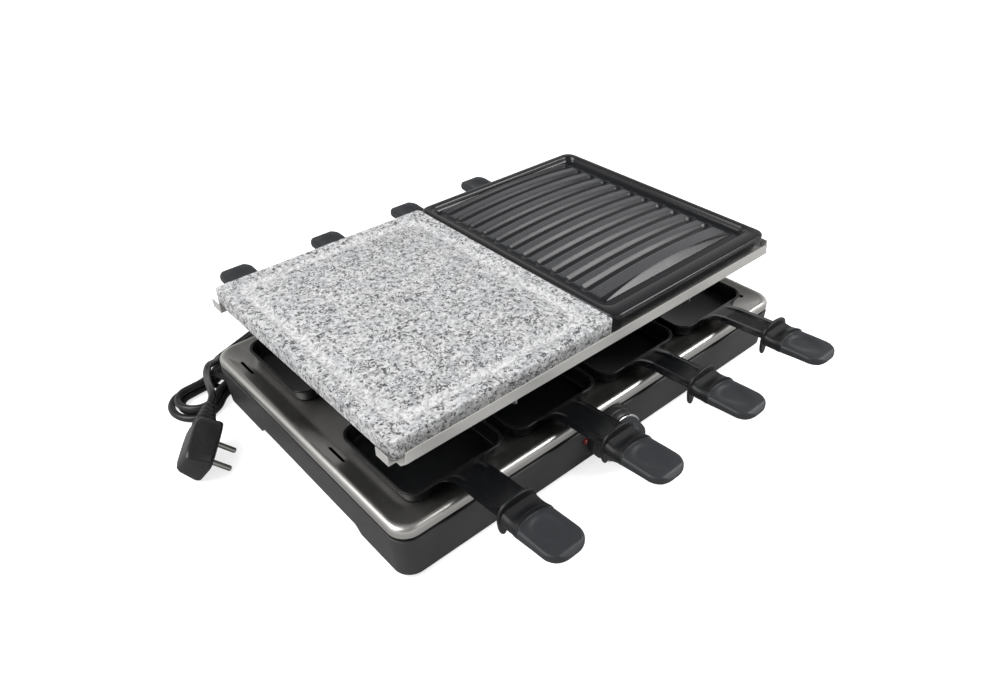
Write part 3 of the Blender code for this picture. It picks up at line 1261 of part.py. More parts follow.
def plug():
    """The angled plug: a flat moulded body with a ribbed boot at one end and two pins in its face."""
    half_length, half_thick, edge = PLUG_LENGTH / 2, PLUG_THICKNESS / 2, PLUG_EDGE
    boot_x = -BOOT_BEHIND_FACE
    depth_mid = -PLUG_DEPTH / 2
    stations = (
        (half_length, 0.78, 0.72, 0.30), (half_length - edge, 0.97, 0.90, 0.30), (half_length / 2, 1.0, 1.0, 0.35),
        (-half_length / 3, 1.0, 1.0, 0.35), (-half_length + edge, 0.97, 0.88, 0.35), (-half_length, 0.80, 0.74, 0.35),
    )
    rings = []
    for y, depth_share, thick_share, round_share in stations:
        half_d, half_t = PLUG_DEPTH / 2 * depth_share, half_thick * thick_share
        shift = depth_mid + PLUG_DEPTH / 2 * (1 - depth_share)
        ring = rounded_rectangle(half_d, half_t, half_d * round_share, 0, 2)
        rings.append([Vector((shift + point.x, y, -point.y)) for point in ring])
    root, tip = BOOT_ROOT_HALF, BOOT_TIP_RADIUS
    boot_stations = (
        (-half_length + edge, root), (-half_length - BOOT_LENGTH * 0.25, root * 0.94),
        (-half_length - BOOT_LENGTH * 0.6, (root + tip) / 2), (-half_length - BOOT_LENGTH, tip),
    )
    boot_rings = []
    for y, half in boot_stations:
        round_share = 0.5 if half > tip else 0.99
        ring = rounded_rectangle(half, half, half * round_share, 0, 2)
        boot_rings.append([Vector((boot_x + point.x, y, -point.y)) for point in ring])
    body = loft("plug_body", rings, CORD_PLASTIC)
    body = join(body, loft("boot", boot_rings))
    sockets = []
    for side in (-1, 1):
        radius = PIN_RADIUS + GAP
        profile = ((0, OVERRUN), (radius, OVERRUN), (radius, -PIN_SOCKET_DEPTH - GAP), (0, -PIN_SOCKET_DEPTH - GAP))
        sockets.append(settle(facing(turned("socket", profile, steps=12), (1, 0, 0), (0, side * PIN_SPACING / 2, 0))))
    body = smooth(cut(body, *sockets))
    body.matrix_world = plug_frame() @ body.matrix_world
    for number, side in enumerate((-1, 1), 1):
        profile = (
            (0, PIN_LENGTH), (PIN_RADIUS - PIN_ROUND, PIN_LENGTH), (PIN_RADIUS, PIN_LENGTH - PIN_ROUND),
            (PIN_RADIUS, -PIN_SOCKET_DEPTH), (0, -PIN_SOCKET_DEPTH),
        )
        pin = turned(f"plug_pin_{number}", profile, CHROME, steps=12)
        pin = smooth(settle(facing(pin, (1, 0, 0), (0, side * PIN_SPACING / 2, 0))))
        pin.matrix_world = plug_frame() @ pin.matrix_world


def cord():
    """The lead in three stretches: gland to hank, the hank, and hank to plug, which meet face to face."""
    hank = hank_points()
    into = (hank[1] - hank[0]).normalized()
    out = (hank[-1] - hank[-2]).normalized()
    frame = plug_frame()
    boot_end = frame @ Vector((-BOOT_BEHIND_FACE, -PLUG_LENGTH / 2 - BOOT_LENGTH, 0))
    boot_way = (frame.to_3x3() @ Vector((0, -1, 0))).normalized()
    gland_end = Vector((GLAND_X, BASE_DEPTH / 2 + GLAND_LENGTH + GAP, GLAND_Z))
    gland_way = Vector((0, 1, 0))
    straight = CORD_DIAMETER
    lead = [gland_end, gland_end + gland_way * straight, *LEAD_ROUTE]
    lead += [hank[0] - into * (GAP + straight), hank[0] - into * GAP]
    tail = [hank[-1] + out * GAP, hank[-1] + out * (GAP + straight), *TAIL_ROUTE]
    tail += [boot_end + boot_way * (GAP + straight), boot_end + boot_way * GAP]
    lead, tail = smooth_route(lead, 2 * CORD_DIAMETER), smooth_route(tail, 2 * CORD_DIAMETER)
    tube("cord_lead", lead, CORD_RADIUS, CORD_PLASTIC)
    tube("cord_hank", hank, CORD_RADIUS, CORD_PLASTIC, 1)
    tube("cord_tail", tail, CORD_RADIUS, CORD_PLASTIC)
    total = length_of(lead) + length_of(hank) + length_of(tail)
    print(f"cord {total:.3f} m, least gap in the hank {least_gap(hank) * 1000:.2f} mm")


def cord_tie():
    """The flat tie round the waist of the hank."""
    low, high = TIE_SHEET + GAP, TIE_SHEET + 3 * GAP + CORD_DIAMETER + HANK_LAYER
    middle_z, half_z = (low + high) / 2, (high - low) / 2
    rings = []
    for thickness, side in ((TIE_SHEET, -1), (TIE_SHEET, 1), (0, 1), (0, -1)):
        ring = rounded_rectangle(TIE_ACROSS / 2 + thickness, half_z + thickness, CORD_RADIUS + thickness, 0, 3)
        x = TIE_FROM_MIDDLE + side * TIE_WIDTH / 2
        rings.append([Vector((x, TIE_SIDE_SHIFT + point.x, middle_z + point.y)) for point in ring])
    tie = loft("cord_tie", rings, RUBBER, closed=True)
    tie.matrix_world = hank_frame()
    return smooth(tie)


granite_stone()
grill_plate()
top_frame()
base_housing()
bottom_cover()
cover_screws()
feet()
reflector_tray()
support("support_left", -SUPPORT_X)
support("support_right", SUPPORT_X)
heating_element()
terminal_block()
pans()
thermostat()
knob_bezel()
knob()
lamp()
cord_gland()
cord()
cord_tie()
plug()
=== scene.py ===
# %% [markdown]
# # Raclette grill
#
# The looks of a raclette grill for eight pans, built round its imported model: a camera, lamps, a finish for
# every part, and finer pieces in place of the model's plain ones. Metres, +Z up, the table at z = 0, the
# knob on the -Y side. Each piece takes its place and its outer sizes from the model, so that both stay one
# object.

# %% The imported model
import math

import bmesh
import bpy
from mathutils import Matrix, Vector


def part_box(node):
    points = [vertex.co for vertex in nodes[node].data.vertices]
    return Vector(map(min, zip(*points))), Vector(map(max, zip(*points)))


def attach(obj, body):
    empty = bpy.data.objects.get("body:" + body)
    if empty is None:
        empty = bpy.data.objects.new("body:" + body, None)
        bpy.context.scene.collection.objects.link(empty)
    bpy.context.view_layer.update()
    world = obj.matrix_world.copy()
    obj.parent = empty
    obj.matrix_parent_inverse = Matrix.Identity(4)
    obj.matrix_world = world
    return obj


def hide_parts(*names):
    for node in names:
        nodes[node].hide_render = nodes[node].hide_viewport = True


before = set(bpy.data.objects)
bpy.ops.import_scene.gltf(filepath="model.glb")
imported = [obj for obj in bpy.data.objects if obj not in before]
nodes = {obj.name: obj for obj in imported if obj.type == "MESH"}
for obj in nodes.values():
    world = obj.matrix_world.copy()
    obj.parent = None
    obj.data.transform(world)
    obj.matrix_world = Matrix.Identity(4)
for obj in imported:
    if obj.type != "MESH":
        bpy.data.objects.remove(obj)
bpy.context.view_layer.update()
scene = bpy.context.scene
scene.view_settings.view_transform = "Standard"

# %% [markdown]
# ## Camera
#
# A camera can be turned by eye until its picture fits the photograph. Straight edges tell more: points on
# them were fitted for place, turn, lens and shift, and the model then falls on the photograph to about a
# pixel.

# %% Place and turn of the camera
CAMERA_PLACE = (-0.4046, -0.4763, 0.4858)
CAMERA_TURN = {"yaw": 41.725, "pitch": -36.326, "roll": -0.635}
CAMERA_LENS = 28.787
CAMERA_SENSOR = 36.0
CAMERA_SHIFT = (-0.0213, 0.0047)

yaw, pitch, roll = (math.radians(angle) for angle in CAMERA_TURN.values())
ahead = Vector((math.sin(yaw) * math.cos(pitch), math.cos(yaw) * math.cos(pitch), math.sin(pitch)))
level = ahead.cross(Vector((0, 0, 1))).normalized()
above = level.cross(ahead)
right = level * math.cos(roll) + above * math.sin(roll)
up = above * math.cos(roll) - level * math.sin(roll)

camera = bpy.data.objects.new("camera", bpy.data.cameras.new("camera"))
camera.matrix_world = Matrix.Translation(CAMERA_PLACE) @ Matrix((right, up, -ahead)).transposed().to_4x4()
camera.data.sensor_width = CAMERA_SENSOR
camera.data.lens = CAMERA_LENS
camera.data.shift_x, camera.data.shift_y = CAMERA_SHIFT
scene.collection.objects.link(camera)
scene.camera = camera
print("camera at", CAMERA_PLACE, "looks along", [round(share, 3) for share in ahead])

# %% [markdown]
# ## Node trees
#
# A finish is a shader whose sockets are fed by patterns. In the editor its nodes are laid and wired by
# hand. Here each kind of node gets a short function, so that a finish reads as a few lines that lead from
# pattern to socket.


# %% A material, and a node with its settings
def finish(name, colour, roughness, metallic=0.0, **settings):
    """A material with its Principled shader set, and its tree and shader for more."""
    made = bpy.data.materials.new(name)
    made.use_nodes = True
    shader = made.node_tree.nodes["Principled BSDF"]
    shader.inputs["Base Color"].default_value = (*colour, 1.0)
    shader.inputs["Roughness"].default_value = roughness
    shader.inputs["Metallic"].default_value = metallic
    for socket, value in settings.items():
        shader.inputs[socket.replace("_", " ")].default_value = value
    return made, made.node_tree, shader


def feed(tree, socket, value):
    """Links the socket to a node's output, or sets it to a number or a colour."""
    if isinstance(value, bpy.types.NodeSocket):
        tree.links.new(value, socket)
    else:
        socket.default_value = (*value, 1.0) if isinstance(value, tuple) else value


def node(tree, kind, inputs=(), **settings):
    """A node of a kind, with its inputs fed and its properties or other inputs set."""
    made = tree.nodes.new("ShaderNode" + kind)
    for name, value in settings.items():
        if hasattr(made, name):
            setattr(made, name, value)
        else:
            made.inputs[name].default_value = value
    for socket, value in dict(inputs).items():
        feed(tree, made.inputs[socket], value)
    return made


# %% Patterns in an object's own space
def place_in_object(tree, stretch=(1, 1, 1)):
    """The object's own coordinates, stretched by a factor along each axis."""
    coordinates = node(tree, "TexCoord").outputs["Object"]
    return node(tree, "Mapping", {"Vector": coordinates}, Scale=stretch).outputs["Vector"]


def noise(tree, vector, scale, detail, roughness=0.5):
    made = node(tree, "TexNoise", {"Vector": vector}, Scale=scale, Detail=detail, Roughness=roughness)
    return made.outputs["Fac"]


def cells(tree, vector, scale, channel):
    """A random grey for each cell of a mosaic, from one channel of its colours."""
    colours = node(tree, "TexVoronoi", {"Vector": vector}, Scale=scale).outputs["Color"]
    return node(tree, "SeparateColor", {"Color": colours}).outputs[channel]


def marked(tree, name):
    """A share that the piece's own points carry."""
    return node(tree, "Attribute", attribute_name=name).outputs["Fac"]


# %% Ramps and ranges
MOST_NOISE = (0.3, 0.7)


def ramp(tree, value, stops, smooth=False):
    """A colour ramp from (place, grey or colour) stops."""
    made = node(tree, "ValToRGB", {"Fac": value})
    colours = made.color_ramp
    colours.interpolation = "EASE" if smooth else "LINEAR"
    while len(colours.elements) < len(stops):
        colours.elements.new(0.5)
    for element, (place, colour) in zip(colours.elements, stops):
        element.position = place
        element.color = (*colour, 1.0) if isinstance(colour, tuple) else (colour, colour, colour, 1.0)
    return made.outputs["Color"]


def shades(tree, value, colour, shares):
    """A colour that varies between two shares of itself."""
    tones = [tuple(min(channel * share, 1.0) for channel in colour) for share in shares]
    return ramp(tree, value, tuple(zip(MOST_NOISE, tones)))


def span(tree, value, low, high, source=MOST_NOISE):
    """Maps a value from its own range, most of what noise gives unless told, to another."""
    return node(tree, "MapRange", enumerate((value, *source, low, high))).outputs["Result"]


# %% Sums, blends and fine relief
def math_node(tree, operation, *values):
    return node(tree, "Math", enumerate(values), operation=operation).outputs["Value"]


COLOUR_BLEND_INPUTS = (0, 6, 7)
COLOUR_BLEND_OUTPUT = 2


def blend_colour(tree, share, first, second, kind="MIX"):
    sources = zip(COLOUR_BLEND_INPUTS, (share, first, second))
    return node(tree, "Mix", sources, data_type="RGBA", blend_type=kind).outputs[COLOUR_BLEND_OUTPUT]


def surface(tree, shader, tone, gloss, relief, depth, strength):
    """Feeds the shader's colour and roughness, and gives it a relief of a depth in metres."""
    feed(tree, shader.inputs["Base Color"], tone)
    feed(tree, shader.inputs["Roughness"], gloss)
    made = node(tree, "Bump", {"Height": relief}, Distance=depth, Strength=strength)
    feed(tree, shader.inputs["Normal"], made.outputs["Normal"])


# %% [markdown]
# ## Granite
#
# Sawn and polished granite: pale feldspar, greyer quartz and crowded flecks of dark mica. A photograph of
# it would stretch on the slab's sides. Two mosaics and two clouds in the slab's own space make the grains
# instead, so that they run through the edges. The groove is milled after polishing, which leaves it paler
# and duller.

# %% Tones of grains, mica and the milled groove
WARP_SCALE, WARP_SHARE = 260.0, 0.0045
GRAIN_SCALE, GRAIN_SHARE = 430.0, 0.40
GRAIN_GLOSS = (0.36, 0.55)
VEIN_SCALE, VEIN_DETAIL, VEIN_HARSHNESS = 240.0, 7.0, 0.8
VEIN_RANGE, VEIN_NOISE = (0.0, 0.60), (0.34, 0.66)
STONE_TONES = (
    (0.16, (0.24, 0.244, 0.252)), (0.32, (0.40, 0.405, 0.414)), (0.48, (0.56, 0.565, 0.572)),
    (0.64, (0.70, 0.70, 0.70)), (0.88, (0.80, 0.797, 0.794)),
)
FLECK_SCALE, FLECK_STOPS = 740.0, ((0.12, 1.0), (0.17, 0.0))
CROWD_SCALE, CROWD_RANGE, CROWD_NOISE = 210.0, (-0.34, 0.48), (0.34, 0.68)
MICA = (0.10, 0.102, 0.107)
CLOUD_SCALE, CLOUD_TONES = 38.0, ((0.3, (0.95, 0.955, 0.97)), (0.7, (1.04, 1.03, 1.02)))
MILLED_TONE, MILLED_SHARE, MILLED_DULLNESS = (0.90, 0.895, 0.89), 0.30, 0.15
STONE_RELIEF = 0.00012
ALL = (0.0, 1.0)


# %% The stone from its grains
def granite():
    made, tree, shader = finish("granite_speckled", (0.6, 0.6, 0.61), 0.42)
    place = place_in_object(tree)
    warp = node(tree, "TexNoise", {"Vector": place}, Scale=WARP_SCALE, Detail=4.0).outputs["Color"]
    shifted = node(tree, "MixRGB", {"Color1": place, "Color2": warp}, Fac=WARP_SHARE).outputs["Color"]
    grain = cells(tree, shifted, GRAIN_SCALE, "Red")
    veins = noise(tree, place, VEIN_SCALE, VEIN_DETAIL, VEIN_HARSHNESS)
    veins = span(tree, veins, *VEIN_RANGE, VEIN_NOISE)
    mixed = math_node(tree, "ADD", math_node(tree, "MULTIPLY", grain, GRAIN_SHARE), veins)
    crowd = span(tree, noise(tree, place, CROWD_SCALE, 4.0, 0.65), *CROWD_RANGE, CROWD_NOISE)
    fleck = math_node(tree, "SUBTRACT", cells(tree, shifted, FLECK_SCALE, "Green"), crowd)
    speckled = blend_colour(tree, ramp(tree, fleck, FLECK_STOPS), ramp(tree, mixed, STONE_TONES), MICA)
    clouds = ramp(tree, noise(tree, place, CLOUD_SCALE, 2.0), CLOUD_TONES)
    polished = blend_colour(tree, 1.0, speckled, clouds, "MULTIPLY")
    milled = marked(tree, "milled")
    tone = blend_colour(tree, math_node(tree, "MULTIPLY", milled, MILLED_SHARE), polished, MILLED_TONE)
    duller = math_node(tree, "MULTIPLY", milled, MILLED_DULLNESS)
    gloss = math_node(tree, "ADD", span(tree, grain, *GRAIN_GLOSS, ALL), duller)
    surface(tree, shader, tone, gloss, noise(tree, place, 500.0, 3.0), STONE_RELIEF, 0.5)
    return made


# %% [markdown]
# ## Coatings
#
# Pans and plate have a sprayed non-stick coating, black with a fine orange peel and an uneven gloss. One
# plain black would look like plastic. On the plate, the marks of its points tell the platform and the
# channels apart from the glossy rim, because painting them by hand would have to be done again after each
# change of the ribs. The platform's lands are painted lighter, for a blasted texture and a painted sheen,
# and the channels take the rim's black as painted shade.

# %% Sprayed
UNEVEN_SCALE, UNEVEN_GLOSS = 26.0, (-0.04, 0.04)
SPRAYED_SHARES = (0.82, 1.2)
# The lands' lighter tones are a blasted texture with a painted sheen; the rim's black also paints shade into
# the channels.
SAND_AND_SHEEN_TONES = ((0.32, (0.036, 0.037, 0.041)), (0.68, (0.088, 0.089, 0.095)))
RIM_BLACK_AND_CHANNEL_SHADE = (0.0095, 0.010, 0.0115)
PLATFORM_GLOSS, CHANNEL_DULLNESS = (0.20, 0.36), 0.10
ORANGE_PEEL = 0.00003


def coated(name, colour, roughness, peel_scale, spread):
    made, tree, shader = finish(name, colour, roughness, Specular_IOR_Level=0.3)
    place = place_in_object(tree)
    gloss = span(tree, noise(tree, place, UNEVEN_SCALE, 3.0), roughness - spread, roughness + spread)
    tone = shades(tree, noise(tree, place, 400.0, 4.0), colour, SPRAYED_SHARES)
    surface(tree, shader, tone, gloss, noise(tree, place, peel_scale, 2.0), ORANGE_PEEL, 0.6)
    return made


# %% Blasted platform with painted sheen, glossy rim, and duller channels in painted shade
def cast_coating():
    made, tree, shader = finish("nonstick_cast", (0.016, 0.0165, 0.018), 0.22, Specular_IOR_Level=0.6)
    place = place_in_object(tree)
    platform = marked(tree, "platform")
    # Painted sheen: the platform's lands are lighter than the rim. The channels keep the rim's black as
    # painted shade.
    blasted_and_sheen = ramp(tree, noise(tree, place, 1150.0, 3.0, 0.7), SAND_AND_SHEEN_TONES)
    tone = blend_colour(tree, platform, RIM_BLACK_AND_CHANNEL_SHADE, blasted_and_sheen)
    uneven = span(tree, noise(tree, place, UNEVEN_SCALE, 3.0), *UNEVEN_GLOSS)
    gloss = math_node(tree, "ADD", uneven, span(tree, platform, *PLATFORM_GLOSS, ALL))
    duller = math_node(tree, "MULTIPLY", marked(tree, "channel"), CHANNEL_DULLNESS)
    gloss = math_node(tree, "ADD", gloss, duller)
    surface(tree, shader, tone, gloss, noise(tree, place, 900.0, 2.0), ORANGE_PEEL, 0.5)
    return made


# %% [markdown]
# ## Steel
#
# Rolled sheet has fine lines along one way. An anisotropic shader can stretch its highlights. Noise that is
# stretched in the piece's own space, and fed to colour and roughness, does nearly the same and survives
# baking.

# %% Brushed, nickelled and bright
ALONG_X = (0.04, 1, 1)
LINE_SCALE, LINE_SHARES = 1500.0, (0.93, 1.04)
LINE_GLOSS, CLOUD_GLOSS = (-0.05, 0.07), (-0.03, 0.04)
BRUSHED_RELIEF, BRIGHT_RELIEF = 0.00002, 0.000005


def brushed(name, colour, roughness, stretch=(1, 1, 1), depth=BRUSHED_RELIEF, metal=1.0, unevenness=1.0):
    made, tree, shader = finish(name, colour, roughness, metal)
    lines = noise(tree, place_in_object(tree, stretch), LINE_SCALE, 5.0, 0.6)
    clouds = noise(tree, place_in_object(tree), 30.0, 3.0)
    uneven = math_node(tree, "ADD", span(tree, lines, *LINE_GLOSS), span(tree, clouds, *CLOUD_GLOSS))
    gloss = math_node(tree, "ADD", math_node(tree, "MULTIPLY", uneven, unevenness), roughness)
    surface(tree, shader, shades(tree, lines, colour, LINE_SHARES), gloss, lines, depth, 0.35)
    return made


# %% [markdown]
# ## Moulded plastic and the lens
#
# A spark-eroded mould leaves a fine grain, which scatters the highlights of housing, handles and lead. The
# handles' collars are darker, again by a mark on the points, because grip and collar are one moulding. The
# lens is red plastic over a lamp, with a pattern of small facets.

# %% Grained plastic and red facets
COLLAR_BLACK = (0.0060, 0.0065, 0.0075)
CLOUDY_SHARES = (0.92, 1.08)
GRAIN_SPREAD = 0.06
FACET_SCALE, FACET_TONES = 900.0, ((0.0, (0.34, 0.05, 0.045)), (0.6, (0.18, 0.02, 0.02)))
FACET_DEPTH = 0.00015
FINE_GRAIN, RUBBER_GRAIN, CERAMIC_GRAIN = 0.00005, 0.00008, 0.00006


def moulded(name, colour, roughness, grain=FINE_GRAIN, scale=1400.0, darker_where=None):
    made, tree, shader = finish(name, colour, roughness, Specular_IOR_Level=0.5)
    place = place_in_object(tree)
    fine = noise(tree, place, scale, 3.0, 0.6)
    tone = shades(tree, noise(tree, place, 18.0, 3.0), colour, CLOUDY_SHARES)
    if darker_where:
        tone = blend_colour(tree, marked(tree, darker_where), tone, COLLAR_BLACK)
    gloss = span(tree, fine, roughness - GRAIN_SPREAD, roughness + GRAIN_SPREAD)
    surface(tree, shader, tone, gloss, fine, grain, 0.5)
    return made


def glass_red():
    made, tree, shader = finish("lens_red", (0.62, 0.05, 0.045), 0.12, Transmission_Weight=0.35, IOR=1.49)
    place = place_in_object(tree)
    facets = node(tree, "TexVoronoi", {"Vector": place}, Scale=FACET_SCALE).outputs["Distance"]
    surface(tree, shader, ramp(tree, facets, FACET_TONES), 0.12, facets, FACET_DEPTH, 0.5)
    return made


# %% All finishes by name
FINISHES = {
    "granite": granite(),
    "cast_plate": cast_coating(),
    "stainless": brushed("stainless_brushed", (0.62, 0.61, 0.585), 0.36, ALONG_X, 0.0, unevenness=0.3),
    "frame_steel": brushed("frame_sheet_steel", (0.70, 0.69, 0.665), 0.40, ALONG_X, 0.0, metal=0.5),
    "pin_steel": brushed("plug_pin_nickel", (0.40, 0.39, 0.37), 0.34),
    "chrome": brushed("chrome_bright", (0.80, 0.80, 0.81), 0.10, depth=BRIGHT_RELIEF),
    "heater_steel": brushed("heater_sheath_steel", (0.30, 0.28, 0.26), 0.42, (0.1, 1, 1)),
    "screw_steel": brushed("screw_steel_zinc", (0.62, 0.62, 0.60), 0.30),
    "pan_coating": coated("nonstick_pan_gloss", (0.0045, 0.005, 0.006), 0.24, 700.0, 0.04),
    "base_plastic": moulded("base_plastic_satin", (0.038, 0.038, 0.0385), 0.42),
    "handle_plastic": moulded("handle_plastic_matt", (0.026, 0.028, 0.032), 0.46, darker_where="collar"),
    "collar_plastic": moulded("collar_plastic_satin", COLLAR_BLACK, 0.40),
    "cord_plastic": moulded("cord_plastic_satin", (0.022, 0.022, 0.023), 0.30),
    "lens": glass_red(),
    "rubber": moulded("rubber_feet", (0.018, 0.018, 0.018), 0.78, RUBBER_GRAIN, 900.0),
    "ceramic": moulded("terminal_ceramic", (0.70, 0.68, 0.62), 0.55, CERAMIC_GRAIN, 700.0),
}
print(len(FINISHES), "finishes")

# %% [markdown]
# ## Outlines that climb
#
# Most pieces of this grill are rounded rectangles that step outwards, inwards and upwards: pressed sheet,
# cast edges, moulded handles. Such a form could be lofted by hand, but one face that is extruded and
# reshaped, step by step, says the same with fewer numbers. Each step is (half length, half depth, corner
# radius, height, shift of the middle in Y).

# %% One face with bevelled corners, and its way to the next step
ROUND_SEGMENTS = 8
LEVEL_WITHIN = 1e-7
MERGE_WITHIN = 1e-6


def between_ends(edge):
    """How far apart an edge's two ends are along each axis."""
    first, second = edge.verts
    return Vector([abs(here - there) for here, there in zip(first.co, second.co)])


def outline_face(mesh, step, segments):
    corners = bmesh.ops.create_grid(mesh, x_segments=1, y_segments=1, size=1.0)["verts"]
    bmesh.ops.scale(mesh, vec=(step[0], step[1], 1.0), verts=corners)
    bmesh.ops.translate(mesh, vec=(0, step[4], step[3]), verts=corners)
    rounded = bmesh.ops.bevel(
        mesh, geom=corners, offset=step[2], affect="VERTICES", segments=segments, profile=0.5, material=-1
    )
    return rounded["verts"][0].link_faces[0]


def reshape(corner, old, new):
    """Moves a point of one outline to the same place on the next: flats stretch, corners keep their arcs."""
    for axis in (0, 1):
        middle_old, middle_new = (0, 0) if axis == 0 else (old[4], new[4])
        flat_old, flat_new = old[axis] - old[2], new[axis] - new[2]
        from_middle = corner.co[axis] - middle_old
        share = max(-1.0, min(1.0, from_middle / flat_old))
        beyond = (from_middle - share * flat_old) / old[2]
        corner.co[axis] = middle_new + share * flat_new + beyond * new[2]
    corner.co.z = new[3]


# %% The climb itself
def climb(mesh, steps, segments=ROUND_SEGMENTS, open_start=False, cuts=0):
    """A solid through the steps, or an open skin. Cuts divide the two long straights."""
    steps = [step if len(step) == 5 else (*step, 0.0) for step in steps]
    face = outline_face(mesh, steps[0], segments)
    if cuts:
        straights = [edge for edge in face.edges if between_ends(edge).y < LEVEL_WITHIN]
        bmesh.ops.bisect_edges(mesh, edges=straights, cuts=cuts)
    keep_face = not open_start
    for old, new in zip(steps, steps[1:]):
        made = bmesh.ops.extrude_face_region(mesh, geom=[face])["geom"]
        if not keep_face:
            bmesh.ops.delete(mesh, geom=[face], context="FACES_ONLY")
        keep_face = False
        face = next(item for item in made if isinstance(item, bmesh.types.BMFace))
        for corner in face.verts:
            reshape(corner, old, new)
    return face


# %% [markdown]
# ## From a mesh to a piece
#
# A finished mesh gets its faces turned out, smooth shading, a narrow bevel where its edges are real ones,
# its finish, and the body and node of the model that it stands for. Turned pieces are spun from half their
# section, and holes are cut by Boolean modifiers that are applied at once, so that every piece is a plain
# mesh in its own place.


# %% Mesh data, and an object that shows it
def settle_mesh(name, mesh, finish_name, skin=0.0):
    """The mesh as data: doubles merged, faces out, and a wall under an open skin."""
    bmesh.ops.remove_doubles(mesh, verts=mesh.verts, dist=MERGE_WITHIN)
    bmesh.ops.recalc_face_normals(mesh, faces=mesh.faces)
    if skin:
        if sum(face.normal.z * face.calc_area() for face in mesh.faces) < 0:
            bmesh.ops.reverse_faces(mesh, faces=mesh.faces)
        bmesh.ops.solidify(mesh, geom=mesh.faces, thickness=skin)
    data = bpy.data.meshes.new(name)
    mesh.to_mesh(data)
    mesh.free()
    data.shade_smooth()
    data.materials.append(FINISHES[finish_name])
    return data


def placed(name, data):
    made = bpy.data.objects.new(name, data)
    scene.collection.objects.link(made)
    return made


def show(name, data, body, replaced, rounding=0.0, segments=2, sharp=40):
    """Puts the data in the scene, with eased edges, on its body and in place of its node."""
    made = placed(name, data)
    if rounding:
        edges = made.modifiers.new("eased edges", "BEVEL")
        edges.width = rounding
        edges.segments = segments
        edges.limit_method = "ANGLE"
        edges.angle_limit = math.radians(sharp)
        edges.harden_normals = True
    else:
        data.set_sharp_from_angle(angle=math.radians(sharp))
    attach(made, body)
    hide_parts(*replaced)
    print(name, len(data.polygons), "faces")
    return made


# %% Turned shapes
QUARTER_TURN = math.radians(90)
HOLE_STEPS = 32


def spun(profile, steps):
    """A turned solid from (radius, height) points."""
    mesh = bmesh.new()
    points = [mesh.verts.new((radius, 0, height)) for radius, height in profile]
    edges = [mesh.edges.new(pair) for pair in zip(points, points[1:])]
    bmesh.ops.spin(
        mesh, geom=points + edges, cent=(0, 0, 0), axis=(0, 0, 1), angle=math.tau, steps=steps,
        use_merge=True, use_duplicate=False,
    )
    return mesh


def drill(radius, reach, matrix):
    """A round cutter, as long each way as it reaches."""
    mesh = spun(((0, reach), (radius, reach), (radius, -reach), (0, -reach)), HOLE_STEPS)
    bmesh.ops.remove_doubles(mesh, verts=mesh.verts, dist=MERGE_WITHIN)
    bmesh.ops.transform(mesh, matrix=matrix, verts=mesh.verts)
    return mesh


# %% Blocks and thick outlines
def ease_edges(mesh, edges, width, segments):
    bmesh.ops.bevel(
        mesh, geom=edges, offset=width, affect="EDGES", segments=segments, profile=0.5, material=-1
    )


def block(low, high, corner=0.0):
    """A box between two corners, its upright edges rounded if asked."""
    mesh = bmesh.new()
    bmesh.ops.create_cube(mesh, size=1.0)
    bmesh.ops.scale(mesh, vec=Vector(high) - Vector(low), verts=mesh.verts)
    bmesh.ops.translate(mesh, vec=(Vector(high) + Vector(low)) / 2, verts=mesh.verts)
    if corner:
        upright = [edge for edge in mesh.edges if between_ends(edge).z > LEVEL_WITHIN]
        ease_edges(mesh, upright, corner, 4)
    return mesh


def thick_outline(mesh, outline, way):
    """A flat face through the outline, extruded one way."""
    face = mesh.faces.new([mesh.verts.new(place) for place in outline])
    made = bmesh.ops.extrude_face_region(mesh, geom=[face])["geom"]
    moved = [item for item in made if isinstance(item, bmesh.types.BMVert)]
    bmesh.ops.translate(mesh, vec=way, verts=moved)


# %% Cut-outs and eased values
def cut_out(data, cutters):
    """The data with the cutters' meshes taken out of it."""
    whole = placed("whole", data)
    made = []
    for number, cutter in enumerate(cutters):
        shape = bpy.data.meshes.new("cutter")
        bmesh.ops.recalc_face_normals(cutter, faces=cutter.faces)
        cutter.to_mesh(shape)
        cutter.free()
        made.append(placed("cutter", shape))
        take = whole.modifiers.new(f"cut {number}", "BOOLEAN")
        take.operation = "DIFFERENCE"
        take.object = made[-1]
    bpy.context.view_layer.update()
    result = bpy.data.meshes.new_from_object(whole.evaluated_get(bpy.context.evaluated_depsgraph_get()))
    result.name = data.name
    for obj in (whole, *made):
        bpy.data.objects.remove(obj)
    return result


def ease(share):
    share = max(0.0, min(1.0, share))
    return share * share * (3 - 2 * share)


def soft_least(first, second, softness):
    """The lesser of two heights, with a rounded change from one to the other."""
    share = max(0.0, min(1.0, 0.5 + (second - first) / (2 * softness)))
    return second + (first - second) * share - softness * share * (1 - share)


# %% [markdown]
# ## Mains lead
#
# One free lead of 1.26 m: straight out of the gland in the back wall, along the table to the hank behind
# the left end, three loops held by a flat tie, and over them to the plug. It could be laid by a simulation,
# but then it would not meet the model's own lead. So the route repeats the model's: a few points, a hank by
# rule, and a smooth curve.

